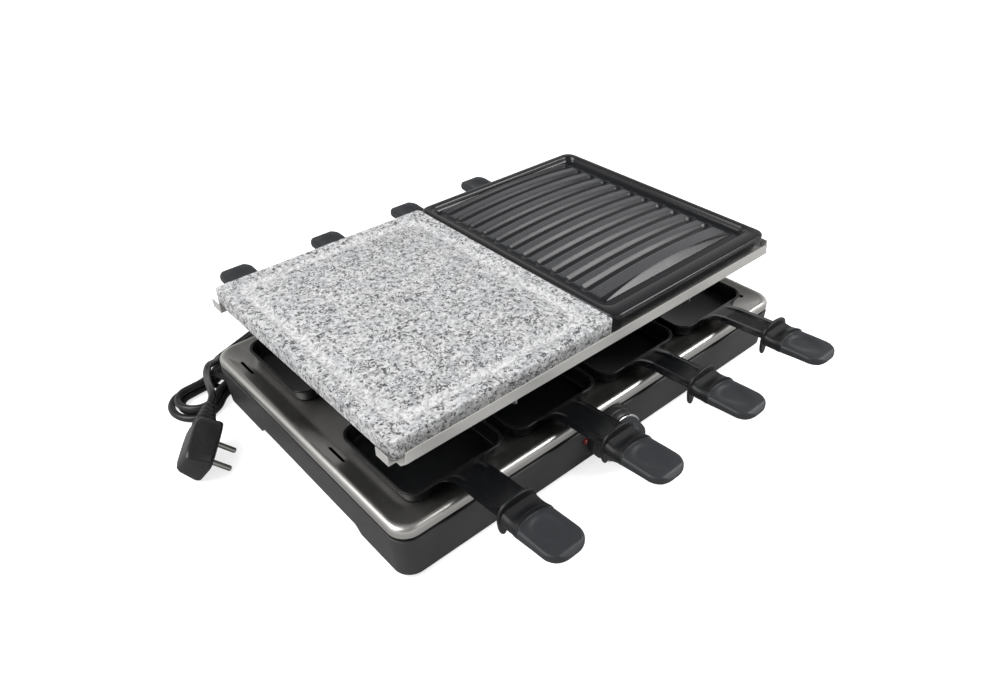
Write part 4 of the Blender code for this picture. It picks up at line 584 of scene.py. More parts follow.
# %% Sizes and route
CORD_DIAMETER = 0.0067
GAP = 0.0003
GLAND_END = (-0.095, 0.1727, 0.017)
LEAD_ROUTE = (
    (-0.0980, 0.1930, 0.0135), (-0.1070, 0.2060, 0.0075), (-0.1220, 0.2165, 0.0040),
    (-0.1410, 0.2215, 0.0035), (-0.1610, 0.2205, 0.0035), (-0.1800, 0.2145, 0.0035),
    (-0.1960, 0.2050, 0.0035), (-0.2100, 0.1950, 0.0035), (-0.2210, 0.1860, 0.0037),
)
TAIL_ROUTE = (
    (-0.2128, 0.1875, 0.0150), (-0.2230, 0.1780, 0.0206), (-0.2305, 0.1650, 0.0222),
    (-0.2350, 0.1510, 0.0250), (-0.2390, 0.1370, 0.0290),
)
PLUG_MIDDLE = (-0.2709, 0.0692, 0.0149)
PLUG_ALONG = (-0.625, -0.761, -0.165)
PLUG_OUT = (0.663, -0.417, -0.622)
PLUG_LENGTH = 0.047
BOOT_LENGTH = 0.024
BOOT_BEHIND_FACE = 0.013


def plug_frame():
    """The plug's own axes: X out of its face, Y along its length away from the boot."""
    out = Vector(PLUG_OUT).normalized()
    along = Vector(PLUG_ALONG)
    along = (along - along.dot(out) * out).normalized()
    turn = Matrix((out, along, out.cross(along))).transposed().to_4x4()
    return Matrix.Translation(PLUG_MIDDLE) @ turn


# %% The hank
HANK_MIDDLE = (-0.1970, 0.1727)
HANK_TURN_DEGREES = 20.0
HANK_LOOPS = 3
HANK_RUN_POINTS = 5
HANK_FOLD_POINTS = 7
HANK_HALF_RUN = 0.0495
HANK_FOLD_RADIUS = 0.0285
HANK_STEP = 0.0084
HANK_LAYER = 0.0073
HANK_DRAW = 0.0120
HANK_WAIST = 0.026
HANK_START_SHARE = 0.20
HANK_LAST_POINT = 69
TIE_FROM_MIDDLE = -0.0256
TIE_SHEET = 0.0008


def hank_point(turns):
    """A place on the hank's line: an oval lane that steps in and out again, drawn in at the tie."""
    radius = HANK_FOLD_RADIUS - HANK_STEP * min(turns, HANK_LOOPS - turns)
    run, fold, half = HANK_RUN_POINTS, HANK_FOLD_POINTS, HANK_HALF_RUN
    stage = (turns + HANK_START_SHARE) % 1 * 2 * (run + fold)
    side = 1 if stage < run + fold else -1
    stage %= run + fold
    if stage < run:
        x, y = half - 2 * half * stage / run, radius
    else:
        angle = math.pi * (stage - run) / fold
        x, y = -half - radius * math.sin(angle), radius * math.cos(angle)
    x, y = side * x, side * y
    tied = math.exp(-(((x - TIE_FROM_MIDDLE) / HANK_WAIST) ** 2))
    y -= math.copysign(HANK_DRAW * tied, y)
    lift = (TIE_SHEET + 2 * GAP) * tied
    return Vector((x, y, CORD_DIAMETER / 2 + lift + HANK_LAYER * ease((turns - HANK_LOOPS / 2) * 2 + 0.5)))


def hank_points():
    laid = Matrix.Translation((*HANK_MIDDLE, 0)) @ Matrix.Rotation(math.radians(HANK_TURN_DEGREES), 4, "Z")
    per_loop = 2 * (HANK_RUN_POINTS + HANK_FOLD_POINTS)
    return [laid @ hank_point(number / per_loop) for number in range(HANK_LAST_POINT + 1)]


# %% A smooth curve through a few points
PARTS_PER_STRETCH = 12


def curved(b, c, leave, arrive, parts):
    """Points from one place towards the next, on a curve with the given ways out and in."""
    for part in range(parts):
        t = part / parts
        yield (
            b * (2 * t**3 - 3 * t**2 + 1) + c * (3 * t**2 - 2 * t**3)
            + leave * (t**3 - 2 * t**2 + t) + arrive * (t**3 - t**2)
        )


def length_along(points):
    return sum((after - before).length for before, after in zip(points, points[1:]))


def heading(before, point, after):
    back, ahead = point - before, after - point
    to_back, to_ahead = back.length, ahead.length
    return (back / to_back * to_ahead + ahead / to_ahead * to_back) / (to_back + to_ahead)


def smooth_route(points, spacing):
    """Evenly spaced points on a smooth curve. Its first and last stretches stay straight."""
    points = [Vector(point) for point in points]
    fine = []
    for a, b, c, d in zip(points, points[1:], points[2:], points[3:]):
        chord = (c - b).length
        fine += curved(b, c, heading(a, b, c) * chord, heading(b, c, d) * chord, PARTS_PER_STRETCH)
    fine.append(points[-2])
    lengths = [0.0]
    for a, b in zip(fine, fine[1:]):
        lengths.append(lengths[-1] + (b - a).length)
    count = max(2, round(lengths[-1] / spacing))
    route = [points[0]]
    k = 0
    for i in range(count + 1):
        wanted = lengths[-1] * i / count
        while k < len(fine) - 2 and lengths[k + 1] < wanted:
            k += 1
        share = (wanted - lengths[k]) / (lengths[k + 1] - lengths[k])
        route.append(fine[k].lerp(fine[k + 1], share))
    return [*route, points[-1]]


# %% The whole centre line, from the gland to the plug's boot
def cord_route():
    hank = hank_points()
    into = (hank[1] - hank[0]).normalized()
    out = (hank[-1] - hank[-2]).normalized()
    start, end = hank[0] - into * CORD_DIAMETER, hank[-1] + out * CORD_DIAMETER
    axes = plug_frame()
    boot_end = axes @ Vector((-BOOT_BEHIND_FACE, -PLUG_LENGTH / 2 - BOOT_LENGTH, 0))
    boot_way = (axes.to_3x3() @ Vector((0, -1, 0))).normalized()
    gland_end, straight = Vector(GLAND_END), CORD_DIAMETER
    lead = [gland_end, gland_end + Vector((0, straight, 0)), *LEAD_ROUTE]
    lead += [start - into * (GAP + straight), start]
    tail = [end, end + out * (GAP + straight), *TAIL_ROUTE]
    tail += [boot_end + boot_way * (GAP + straight), boot_end + boot_way * GAP]
    lead, tail = (smooth_route(points, 2 * CORD_DIAMETER) for points in (lead, tail))
    return [*lead[:-1], *hank, *tail[1:]]


route = cord_route()
print("lead", round(length_along(route), 3), "m")

# %% [markdown]
# ## Plug
#
# A flat angled plug: a softly crowned body, and a boot with bending ribs where the lead goes in.
# Subdividing a box would blur its edges, so both climb along the plug's length, and the plug's own axes
# carry them to where it lies. The table of shares gives each step of the body: along its half length, into
# its eased end, depth and thickness.

# %% Sizes of body and boot
PLUG_THICKNESS = 0.034
PLUG_DEPTH = 0.023
PLUG_EASE = 0.0022
PLUG_TAPER_SHARE = 0.30
PLUG_CORNER_SHARE = 0.36
PLUG_SHARES = (
    (1, 0, 0.66, 0.66), (1, -0.15, 0.78, 0.76), (1, -0.6, 0.90, 0.86), (1, -1.4, 0.96, 0.92),
    (0.6, 0, 1.0, 0.98), (0.2, 0, 1.0, 1.0), (-0.2, 0, 1.0, 1.0), (-0.6, 0, 0.99, 0.97),
    (-1, 1.4, 0.95, 0.90), (-1, 0.6, 0.90, 0.84), (-1, 0.15, 0.80, 0.76), (-1, 0, 0.70, 0.68),
)
BOOT_ROOT = 0.0090
BOOT_TIP = 0.0050
BOOT_RIBS = 5
BOOT_DENT = 0.0007
BOOT_DENT_SHARES = ((0.05, 0), (0.5, 0), (0.6, 1), (0.95, 1))
BOOT_ROUND_SHARES = (0.5, 0.45)
PLUG_SEGMENTS = 6
PLUG_ROUNDING = 0.0003

# %% The plug in its place
mesh = bmesh.new()
half_length, half_thick, half_depth = PLUG_LENGTH / 2, PLUG_THICKNESS / 2, PLUG_DEPTH / 2
steps = []
for length_share, ease_share, depth_share, thick_share in PLUG_SHARES:
    place, depth = half_length * length_share + PLUG_EASE * ease_share, half_depth * depth_share
    steps.append((half_thick * thick_share, depth, half_depth * PLUG_CORNER_SHARE, place, -depth))
climb(mesh, steps, PLUG_SEGMENTS)
round_share, rounder_share = BOOT_ROUND_SHARES
steps = [(BOOT_ROOT, BOOT_ROOT, BOOT_ROOT * round_share, -half_length + PLUG_EASE, -BOOT_BEHIND_FACE)]
for rib in range(BOOT_RIBS):
    for share, dent_share in BOOT_DENT_SHARES:
        down = (rib + share) / BOOT_RIBS
        radius = BOOT_ROOT + (BOOT_TIP - BOOT_ROOT) * down - BOOT_DENT * dent_share
        corner = radius * (round_share + rounder_share * down)
        steps.append((radius, radius, corner, -half_length - BOOT_LENGTH * down, -BOOT_BEHIND_FACE))
climb(mesh, steps, PLUG_SEGMENTS)
for point in mesh.verts:
    slimmer = 1 - PLUG_TAPER_SHARE * ease(-point.co.y / PLUG_DEPTH)
    point.co = (point.co.y, point.co.z, point.co.x * slimmer)
data = settle_mesh("plug", mesh, "cord_plastic")
data.transform(plug_frame())
plug = show("plug", data, "base", ["plug_body"], PLUG_ROUNDING, 2, 50)

# %% The lead as a round tube, on the base's body
curve = bpy.data.curves.new("mains_lead", "CURVE")
curve.dimensions = "3D"
curve.bevel_depth = CORD_DIAMETER / 2
curve.bevel_resolution = 5
curve.resolution_u = 6
curve.use_fill_caps = True
curve.materials.append(FINISHES["cord_plastic"])
spline = curve.splines.new("BEZIER")
spline.bezier_points.add(len(route) - 1)
for i, (handle, place) in enumerate(zip(spline.bezier_points, route)):
    before, after = route[max(i - 1, 0)], route[min(i + 1, len(route) - 1)]
    way = heading(before, place, after) if 0 < i < len(route) - 1 else (after - before).normalized()
    way = way.normalized()
    handle.co = place
    handle.handle_left_type = handle.handle_right_type = "FREE"
    handle.handle_left = place - way * (place - before).length / 3
    handle.handle_right = place + way * (after - place).length / 3
lead = placed("mains_lead", curve)
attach(lead, "base")
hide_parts("cord_lead", "cord_hank", "cord_tail")
print("lead with", len(route), "points")

# %% [markdown]
# ## Granite stone
#
# A sawn slab with eased edges and a shallow juice groove that is milled round its top. A Boolean cut would
# leave a hard edge at each wall of the groove, so the slab is one climbing outline, and the groove is the
# last steps of the same climb, with wider corners than the slab's own. Its points carry the mark "milled"
# for the finish.

# %% Sizes of slab and groove
STONE_CORNER = 0.004
STONE_EASE = 0.0012
EASE_STEPS = 4
GROOVE_INSET = 0.0165
GROOVE_WIDTH = 0.010
GROOVE_DEPTH = 0.0022
GROOVE_CORNER = 0.016
GROOVE_STEPS = 12
GROOVE_SQUARENESS = 2.6
MILLED_STEEPNESS = 3

# %% The slab in its place
low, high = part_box("granite_stone")
half_x, half_y = (high.x - low.x) / 2, (high.y - low.y) / 2
angles = [QUARTER_TURN * turn / EASE_STEPS for turn in range(EASE_STEPS + 1)]
rounds = [(STONE_EASE * (1 - math.sin(angle)), STONE_EASE * (1 - math.cos(angle))) for angle in angles]
section = [(inset, low.z + lift, STONE_CORNER) for inset, lift in rounds]
section += [(inset, high.z - drop, STONE_CORNER) for drop, inset in rounds]
for turn in range(GROOVE_STEPS + 1):
    share = turn / GROOVE_STEPS
    depth = GROOVE_DEPTH * (1 - abs(2 * share - 1) ** GROOVE_SQUARENESS)
    section.append((GROOVE_INSET - GROOVE_WIDTH / 2 + GROOVE_WIDTH * share, high.z - depth, GROOVE_CORNER))
mesh = bmesh.new()
milled = mesh.verts.layers.float.new("milled")
climb(mesh, [(half_x - inset, half_y - inset, corner, height) for inset, height, corner in section])
for point in mesh.verts:
    in_groove = abs(point.co.x) < half_x - GROOVE_INSET + GROOVE_WIDTH / 2
    if in_groove and point.co.z > low.z + GROOVE_DEPTH:
        point[milled] = ease((high.z - point.co.z) / GROOVE_DEPTH * MILLED_STEEPNESS)
bmesh.ops.translate(mesh, vec=((low.x + high.x) / 2, 0, 0), verts=mesh.verts)
data = settle_mesh("stone_slab", mesh, "granite")
show("stone_slab", data, "stone", ["granite_stone"], sharp=60)

# %% [markdown]
# ## Cast grill plate
#
# The plate is cast aluminium: a raised rim, a pool, and a platform that is crowned along its ribs, with
# eleven round-ended channels. The rim and the pool's wall are one climbing outline. The pool's floor is a
# grid whose points are lifted by a formula, because a crown, a slope and channels that fade into each other
# have no edges to extrude.

# %% The plate's own sizes
PLATE_CORNER = 0.010
PLATE_SEGMENTS = 10
PLATE_EASE = 0.0016
PLATE_RIM = 0.0045
PLATE_RIM_BACK = 0.0054
PLATE_RIM_FRONT = 0.0119
POOL_DEPTH = 0.0055
POOL_WALL = 0.003
POOL_FILLET = 0.0022
UNDER_POOL = 0.0026
plate_low, plate_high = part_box("grill_plate")
plate_half = Vector(((plate_high.x - plate_low.x) / 2, (plate_high.y - plate_low.y) / 2))
rim_front, rim_back = PLATE_EASE + PLATE_RIM_FRONT, PLATE_EASE + PLATE_RIM_BACK
pool_shift = (rim_front - rim_back) / 2
pool_half = Vector((plate_half.x - PLATE_EASE - PLATE_RIM, plate_half.y - (rim_front + rim_back) / 2))
pool_z = plate_high.z - POOL_DEPTH
print("pool", [round(2 * half, 4) for half in pool_half])

# %% The ribs' sizes
RIB_COUNT = 11
RIB_PITCH = 0.0191
RIB_FRONT_WIDTH = 0.0137
CHANNEL_WIDTH = 0.0090
CHANNEL_DEPTH = 0.0034
CHANNEL_FLAT_SHARE = 0.10
CHANNEL_ROUNDING = 0.0026
RIB_CROWN = 0.0046
RIB_END_RISE = 0.0007
RIB_END_RUN = 0.004
RIB_END_CLEARANCE = 0.0075
CHANNEL_CLEARANCE = 0.0025
RIB_BACK_CLEARANCE = 0.0035
RIB_FRONT_TROUGH = 0.0095
RIB_FRONT_RUN = 0.0086
RIB_BACK_RUN = 0.0015
RIB_SOFTNESS = 0.0005
FILLET_REACH_SHARE = 1.5
FILLET_HEIGHT_SHARE = 0.5
rib_reach = pool_half.x - POOL_WALL - RIB_END_CLEARANCE
rib_foot = pool_shift - pool_half.y + POOL_WALL + RIB_FRONT_TROUGH
rib_back = pool_shift + pool_half.y - POOL_WALL - RIB_BACK_CLEARANCE
first_channel = rib_foot + RIB_FRONT_RUN + RIB_FRONT_WIDTH + CHANNEL_WIDTH / 2
print("ribs from", round(rib_foot, 4), "to", round(rib_back, 4), "first channel at", round(first_channel, 4))


# %% Heights of the platform, its channels and the fillet at the wall
def platform_height(x, y):
    """The crown along the ribs, with an end, a front and a back that run out."""
    share = min(abs(x) / rib_reach, 1.0)
    full = RIB_END_RISE + RIB_CROWN
    height = RIB_END_RISE * ease((rib_reach - abs(x)) / RIB_END_RUN) + RIB_CROWN * (1 - share * share)
    height = soft_least(height, (y - rib_foot) / RIB_FRONT_RUN * full, RIB_SOFTNESS)
    height = soft_least(height, (rib_back + RIB_BACK_RUN - y) / RIB_BACK_RUN * full, RIB_SOFTNESS)
    return max(height, 0.0)


def channel_depth(x, y):
    """How deep the nearest channel is at a place, with its rounded ends."""
    number = max(0, min(RIB_COUNT - 1, round((y - first_channel) / RIB_PITCH)))
    half = CHANNEL_WIDTH / 2
    beyond = max(abs(x) - (rib_reach - CHANNEL_CLEARANCE - half), 0.0)
    away = math.hypot(y - first_channel - number * RIB_PITCH, beyond) / (half + CHANNEL_ROUNDING)
    return CHANNEL_DEPTH * ease((1 - away) / (1 - CHANNEL_FLAT_SHARE))


def fillet_height(x, y):
    """How far the fillet rises at a place, by its distance from the pool's rounded wall."""
    inside = Vector((pool_half.x - POOL_WALL - abs(x), pool_half.y - POOL_WALL - abs(y - pool_shift)))
    corner = PLATE_CORNER - POOL_WALL / 2
    to_wall = min(inside)
    if max(inside) < corner:
        to_wall = corner - math.hypot(corner - inside.x, corner - inside.y)
    share = max(0.0, min(FILLET_REACH_SHARE, 1 - to_wall / POOL_FILLET))
    return POOL_FILLET * FILLET_HEIGHT_SHARE * share * share


# %% The floor's height at a place, and the marks for its finish
PLATFORM_FROM = 0.0002
PLATFORM_BLEND = 0.0010
PLATFORM_FRONT_SHARE = 0.75
CHANNEL_MARK_SHARES = (0.02, 0.36)


def relief(x, y):
    dip = channel_depth(x, y)
    height = platform_height(x, y) - dip
    from_share, over_share = CHANNEL_MARK_SHARES
    # Channels are kept out of the platform mark, so they take the rim's black as painted shade, while the
    # lands get a painted sheen.
    in_channel = ease((dip / CHANNEL_DEPTH - from_share) / over_share)
    on_platform = ease((height - PLATFORM_FROM) / PLATFORM_BLEND) * (1 - in_channel)
    on_platform *= ease((y - rib_foot - RIB_FRONT_RUN * PLATFORM_FRONT_SHARE) / PLATFORM_BLEND)
    return height + fillet_height(x, y), on_platform, in_channel


# %% Shares of the rim's edges, and the floor's grid
RIM_FOOT_SHARES = ((2, 0), (1, 0), (0.3, 0.3), (0, 1))
RIM_TOP_SHARES = ((0, 1), (0.08, 0.6), (0.3, 0.3), (0.6, 0.08), (1, 0))
POOL_EDGE_SHARES = ((0, 0), (0.12, 0.05), (0.25, 0.2))
FLOOR_GRID = (96, 330)
FLOOR_REACH_SHARE = 0.8
END_CROWDING_SHARE = 0.3

# %% Rim and wall, then the floor with its ribs
outer = [(PLATE_EASE * inset, plate_low.z + PLATE_EASE * rise) for inset, rise in RIM_FOOT_SHARES]
outer += [(PLATE_EASE * inset, plate_high.z - PLATE_EASE * drop) for inset, drop in RIM_TOP_SHARES]
steps = [(plate_half.x - inset, plate_half.y - inset, PLATE_CORNER, height, 0.0) for inset, height in outer]
inner = [(POOL_WALL * inset, plate_high.z - POOL_WALL * drop) for inset, drop in POOL_EDGE_SHARES]
for inset, height in (*inner, (POOL_WALL, pool_z), (POOL_WALL, pool_z - UNDER_POOL)):
    steps.append((pool_half.x - inset, pool_half.y - inset, PLATE_CORNER - inset / 2, height, pool_shift))
mesh = bmesh.new()
platform = mesh.verts.layers.float.new("platform")
channel = mesh.verts.layers.float.new("channel")
climb(mesh, steps, PLATE_SEGMENTS)
reach_x, reach_y = (half - POOL_WALL * FLOOR_REACH_SHARE for half in pool_half)
grid = bmesh.ops.create_grid(mesh, x_segments=FLOOR_GRID[0], y_segments=FLOOR_GRID[1], size=1.0)["verts"]
for point in grid:
    x = reach_x * ((1 + END_CROWDING_SHARE) * point.co.x - END_CROWDING_SHARE * point.co.x ** 3)
    y = pool_shift + reach_y * point.co.y
    height, point[platform], point[channel] = relief(x, y)
    point.co = (x, y, pool_z + height)
bmesh.ops.translate(mesh, vec=((plate_low.x + plate_high.x) / 2, 0, 0), verts=mesh.verts)
data = settle_mesh("cast_plate", mesh, "cast_plate")
show("cast_plate", data, "plate", ["grill_plate"], sharp=70)

# %% [markdown]
# ## Base housing
#
# One injection-moulded shell: a skirt with a little draft so that it leaves its mould, a rounded top edge,
# and a lip that the tray rests on. Its section goes up the outside, over the lip and down the inside. One
# climbing outline follows that section, and bridging its two open ends closes the bottom edge. The raised
# middle of each short side, and the holes for spindle, lamp and lead, are cut out at the end.

# %% The shell
BASE_CORNER = 0.017
BASE_SEGMENTS = 14
BASE_DRAFT = 0.0020
BASE_EDGE = 0.0012
BASE_WALL = 0.0025
SKIRT_HEIGHT = 0.0379
LIP_INSET = 0.0055
LIP_HEIGHT = 0.0032
LIP_WIDTH = 0.0032
LIP_DROP = 0.0060

base_low, base_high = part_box("base_housing")
skirt_z = base_low.z + SKIRT_HEIGHT
section = [(BASE_DRAFT, base_low.z), (0, skirt_z - BASE_EDGE)]
for angle in angles[1:]:
    section.append((BASE_EDGE * (1 - math.cos(angle)), skirt_z - BASE_EDGE * (1 - math.sin(angle))))
lip_top, lip_foot, under = skirt_z + LIP_HEIGHT, skirt_z - LIP_DROP, skirt_z - BASE_WALL
lip_inside = LIP_INSET + LIP_WIDTH
section += [
    (LIP_INSET, skirt_z), (LIP_INSET, lip_top), (lip_inside, lip_top), (lip_inside, lip_foot),
    (LIP_INSET, lip_foot), (LIP_INSET, under), (BASE_WALL, under), (BASE_WALL + BASE_DRAFT, base_low.z),
]
steps = []
for inset, height in section:
    corner = max(BASE_CORNER - inset, BASE_CORNER / 2)
    steps.append((base_high.x - inset, base_high.y - inset, corner, height))
mesh = bmesh.new()
inside = climb(mesh, steps, BASE_SEGMENTS, open_start=True)
bmesh.ops.delete(mesh, geom=[inside], context="FACES_ONLY")
bmesh.ops.bridge_loops(mesh, edges=[edge for edge in mesh.edges if edge.is_boundary])
housing_data = settle_mesh("housing", mesh, "base_plastic")

# %% Its raised ends and its holes
ARCH_RISE = 0.0067
ARCH_FRONT_Y = -0.078
ARCH_BACK_Y = 0.067
ARCH_EASE = 0.009
ARCH_STEPS = 12
HOLE_REACH = 3 * BASE_WALL
HOUSING_HOLES = ((-0.0129, 0.0263, 0.0051, -1), (-0.0412, 0.0302, 0.0028, -1), (-0.095, 0.0170, 0.0078, 1))


def arch_cutter(end):
    """The raised bottom edge of a short side: a line that eases up in an S at each end, given a thickness."""
    line = []
    for start, rising in ((ARCH_FRONT_Y - ARCH_EASE, True), (ARCH_BACK_Y, False)):
        for step in range(ARCH_STEPS + 1):
            share = step / ARCH_STEPS
            rise = (1 - math.cos(math.pi * (share if rising else 1 - share))) / 2
            line.append((start + share * ARCH_EASE, base_low.z + rise * ARCH_RISE))
    line = [(line[0][0], 0.0), *line, (line[-1][0], 0.0)]
    mesh = bmesh.new()
    near, far = end * (base_high.x - BASE_CORNER), end * (base_high.x + BASE_WALL)
    thick_outline(mesh, [(near, y, z) for y, z in line], (far - near, 0, 0))
    return mesh


cutters = [arch_cutter(-1), arch_cutter(1)]
for x, z, radius, side in HOUSING_HOLES:
    upright = Matrix.Translation((x, side * base_high.y, z)) @ Matrix.Rotation(QUARTER_TURN, 4, "X")
    cutters.append(drill(radius, HOLE_REACH, upright))
show("housing", cut_out(housing_data, cutters), "base", ["base_housing"], sharp=35)

# %% [markdown]
# ## Reflector tray
#
# Bright sheet steel, pressed in one stroke: a rolled bead over the base's lip, sloping sides and a flat
# floor, with two slots in each end's slope and two holes for the element's tails. The skin climbs along the
# bead's section and gets its thickness at the end, which keeps the sheet the same everywhere, as a press
# does.

# %% Sizes of the tray
SHEET = 0.0008
TRAY_CORNER = 0.016
TRAY_SEGMENTS = 12
TRAY_BEAD_INSET = 0.0048
TRAY_SLOPE = (0.0150, 0.0181)
BEAD_SHARES = (
    (0.0, 0.0), (0.0, 0.42), (0.03, 0.58), (0.12, 0.72), (0.28, 0.86), (0.5, 0.95), (0.78, 1.0),
    (1.02, 0.985), (1.25, 0.92), (1.5, 0.80),
)
SLOPE_FROM_SHARE = 1.2
SLOPE_SHARES = ((0.55, 0.40), (0.82, 0.13), (0.92, 0.045), (1.0, 0.010), (1.08, 0.0))
TRAY_SLOT = (0.0032, 0.023)
TRAY_SLOT_PLACES = (0.040, -0.110)
SLOT_SLOPE_SHARE = 0.6
SLOT_CORNER_SHARE = 0.45
TAIL_HOLE = 0.0050
TAIL_HOLE_Y = 0.0135

# %% The pressed sheet and its holes
tray_low, tray_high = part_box("reflector_tray")
rise = tray_high.z - tray_low.z - SHEET
edge_z = tray_high.z - rise
start = TRAY_BEAD_INSET * SLOPE_FROM_SHARE
section = [(TRAY_BEAD_INSET * share, TRAY_BEAD_INSET * share, up_share) for share, up_share in BEAD_SHARES]
for share, up_share in SLOPE_SHARES:
    section.append((start + TRAY_SLOPE[0] * share, start + TRAY_SLOPE[1] * share, up_share))
steps = [
    (tray_high.x - inset_x, tray_high.y - inset_y, TRAY_CORNER, edge_z + rise * up_share)
    for inset_x, inset_y, up_share in section
]
mesh = bmesh.new()
climb(mesh, steps, TRAY_SEGMENTS, open_start=True)
cutters = []
for side in (-1, 1):
    middle = side * (tray_high.x - start - TRAY_SLOPE[0] * SLOT_SLOPE_SHARE)
    for place in TRAY_SLOT_PLACES:
        low = (middle - TRAY_SLOT[0] / 2, side * place - TRAY_SLOT[1] / 2, edge_z - rise)
        high = (middle + TRAY_SLOT[0] / 2, side * place + TRAY_SLOT[1] / 2, edge_z + rise)
        cutters.append(block(low, high, TRAY_SLOT[0] * SLOT_CORNER_SHARE))
    cutters.append(drill(TAIL_HOLE, rise, Matrix.Translation((0, side * TAIL_HOLE_Y, edge_z))))
data = settle_mesh("tray", mesh, "stainless", SHEET)
show("tray", cut_out(data, cutters), "base", ["reflector_tray"], sharp=40)

# %% [markdown]
# ## Pans
#
# Each pan is pressed from one blank: a rolled lip, steep sides, a flat bottom, and a neck with two
# stiffening beads that leaves the lip in two wide fillets and ends as a tang in the handle. The basin
# climbs. The neck is a grid whose rows are set to the neck's width and height at their distance from the
# middle, because its outline isn't a rectangle anywhere.

# %% Sizes of a pan
PAN_WIDTH = 0.0952
PAN_LENGTH = 0.0986
PAN_FROM_MIDDLE = 0.0291
PAN_HEIGHT = 0.0146
PAN_LIP = 0.0024
PAN_DRAFT = 0.0022
PAN_CORNER = 0.0135
PAN_FOOT = 0.0016
PAN_PITCH = 0.103
PANS_PER_SIDE = 4
GUARD_Y = 0.1908
GUARD_SHEET = 0.0026
pan_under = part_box("pan_1")[0].z
lip_z = pan_under + PAN_HEIGHT
pan_floor = pan_under + SHEET
pan_middle = -(PAN_FROM_MIDDLE + PAN_LENGTH / 2)
pan_front = PAN_FROM_MIDDLE + PAN_LENGTH
print("pans from", PAN_FROM_MIDDLE, "to", round(pan_front, 4), "lip at", round(lip_z, 4))


# %% Values along a way
def along(stations, place, eased=True):
    """A value from (place, value) stations, eased or straight between them."""
    for (near, first), (far, second) in zip(stations, stations[1:]):
        if place <= far:
            share = max(0.0, place - near) / (far - near)
            return first + (second - first) * (ease(share) if eased else share)
    return stations[-1][1]


# %% Width and height of the neck
NECK_WIDTH = 0.0314
NECK_FILLET = 0.010
NECK_FOOT_SHARE = 0.4
NECK_FOOT_Z = 0.0636
NECK_KNEE_Y = 0.1440
NECK_KNEE_Z = 0.0664
TANG_WIDTH = 0.018
TANG_LENGTH = 0.027
TANG_Z = 0.0697
NECK_STATIONS = (
    (pan_front - PAN_LIP, lip_z), (pan_front + NECK_FILLET * NECK_FOOT_SHARE, NECK_FOOT_Z),
    (NECK_KNEE_Y, NECK_KNEE_Z), (GUARD_Y - GUARD_SHEET * 2, TANG_Z), (GUARD_Y + TANG_LENGTH, TANG_Z),
)


def corner_loss(radius, into):
    """What a quarter circle takes off a half width, at a distance into it."""
    return radius - math.sqrt(max(radius**2 - into**2, 0.0))


def neck_half(place):
    """Half the neck's width, with a quarter circle of fillet at the pan."""
    half = NECK_WIDTH / 2
    if place - pan_front < NECK_FILLET:
        half += corner_loss(NECK_FILLET, NECK_FILLET - max(place - pan_front, 0.0))
    tang_start = GUARD_Y - GUARD_SHEET
    if place > tang_start:
        half += (TANG_WIDTH / 2 - half) * ease((place - tang_start) / (GUARD_SHEET / 2))
    return half


# %% Shares of the lip, the foot and the neck's beads
LIP_SHARES = ((0, 0.6), (0, 0.4), (0.06, 0.2), (0.22, 0.06), (0.45, 0), (0.7, 0.06), (0.92, 0.25), (1, 0.5))
FOOT_SHARES = ((0, 1.2), (0.3, 0.4), (1, 0))
PAN_SEGMENTS = 10
NECK_GRID = (28, 70)
NECK_CROWDING = 1.25
NECK_START_SHARE = 0.5
NECK_BEAD = 0.0007
NECK_BEAD_SHARE = 0.66
NECK_BEAD_WIDTH_SHARE = 0.13
NECK_EDGE_SHARE = 0.4
NECK_EDGE_POWER = 12

# %% One pan
section = [(PAN_LIP * inset, lip_z - PAN_LIP * drop) for inset, drop in LIP_SHARES]
section += [(PAN_LIP + PAN_DRAFT + PAN_FOOT * inset, pan_floor + PAN_FOOT * up) for inset, up in FOOT_SHARES]
steps = []
for inset, height in section:
    half_x, half_y = PAN_WIDTH / 2 - inset, PAN_LENGTH / 2 - inset
    steps.append((half_x, half_y, PAN_CORNER - inset / 2, height, pan_middle))
mesh = bmesh.new()
climb(mesh, steps, PAN_SEGMENTS, open_start=True)
grid = bmesh.ops.create_grid(mesh, x_segments=NECK_GRID[0], y_segments=NECK_GRID[1], size=1.0)["verts"]
start, end = pan_front - PAN_LIP * NECK_START_SHARE, GUARD_Y + TANG_LENGTH
for point in grid:
    across = point.co.x
    place = start + (end - start) * ((point.co.y + 1) / 2) ** NECK_CROWDING
    from_beads = [(across - side * NECK_BEAD_SHARE) / NECK_BEAD_WIDTH_SHARE for side in (-1, 1)]
    bead = sum(math.exp(-(away**2)) for away in from_beads)
    fade = ease((place - pan_front) / NECK_FILLET)
    fade *= ease((GUARD_Y - GUARD_SHEET * 2 - place) / (2 * GUARD_SHEET))
    drop = NECK_BEAD * NECK_EDGE_SHARE * fade * abs(across) ** NECK_EDGE_POWER
    height = along(NECK_STATIONS, place, eased=False) + NECK_BEAD * bead * fade - drop
    point.co = (neck_half(place) * across, -place, height)
pan_data = settle_mesh("pan_basin", mesh, "pan_coating", SHEET)


# %% Eight pans, each on its own body
PAN_SHARP = 50


def in_place(number):
    """Where the first mesh goes for each pan: shifted, and for the back row turned half round first."""
    shift = ((number % PANS_PER_SIDE) - (PANS_PER_SIDE - 1) / 2) * PAN_PITCH
    turn = math.pi if number >= PANS_PER_SIDE else 0.0
    return Matrix.Translation((shift, 0, 0)) @ Matrix.Rotation(turn, 4, "Z")


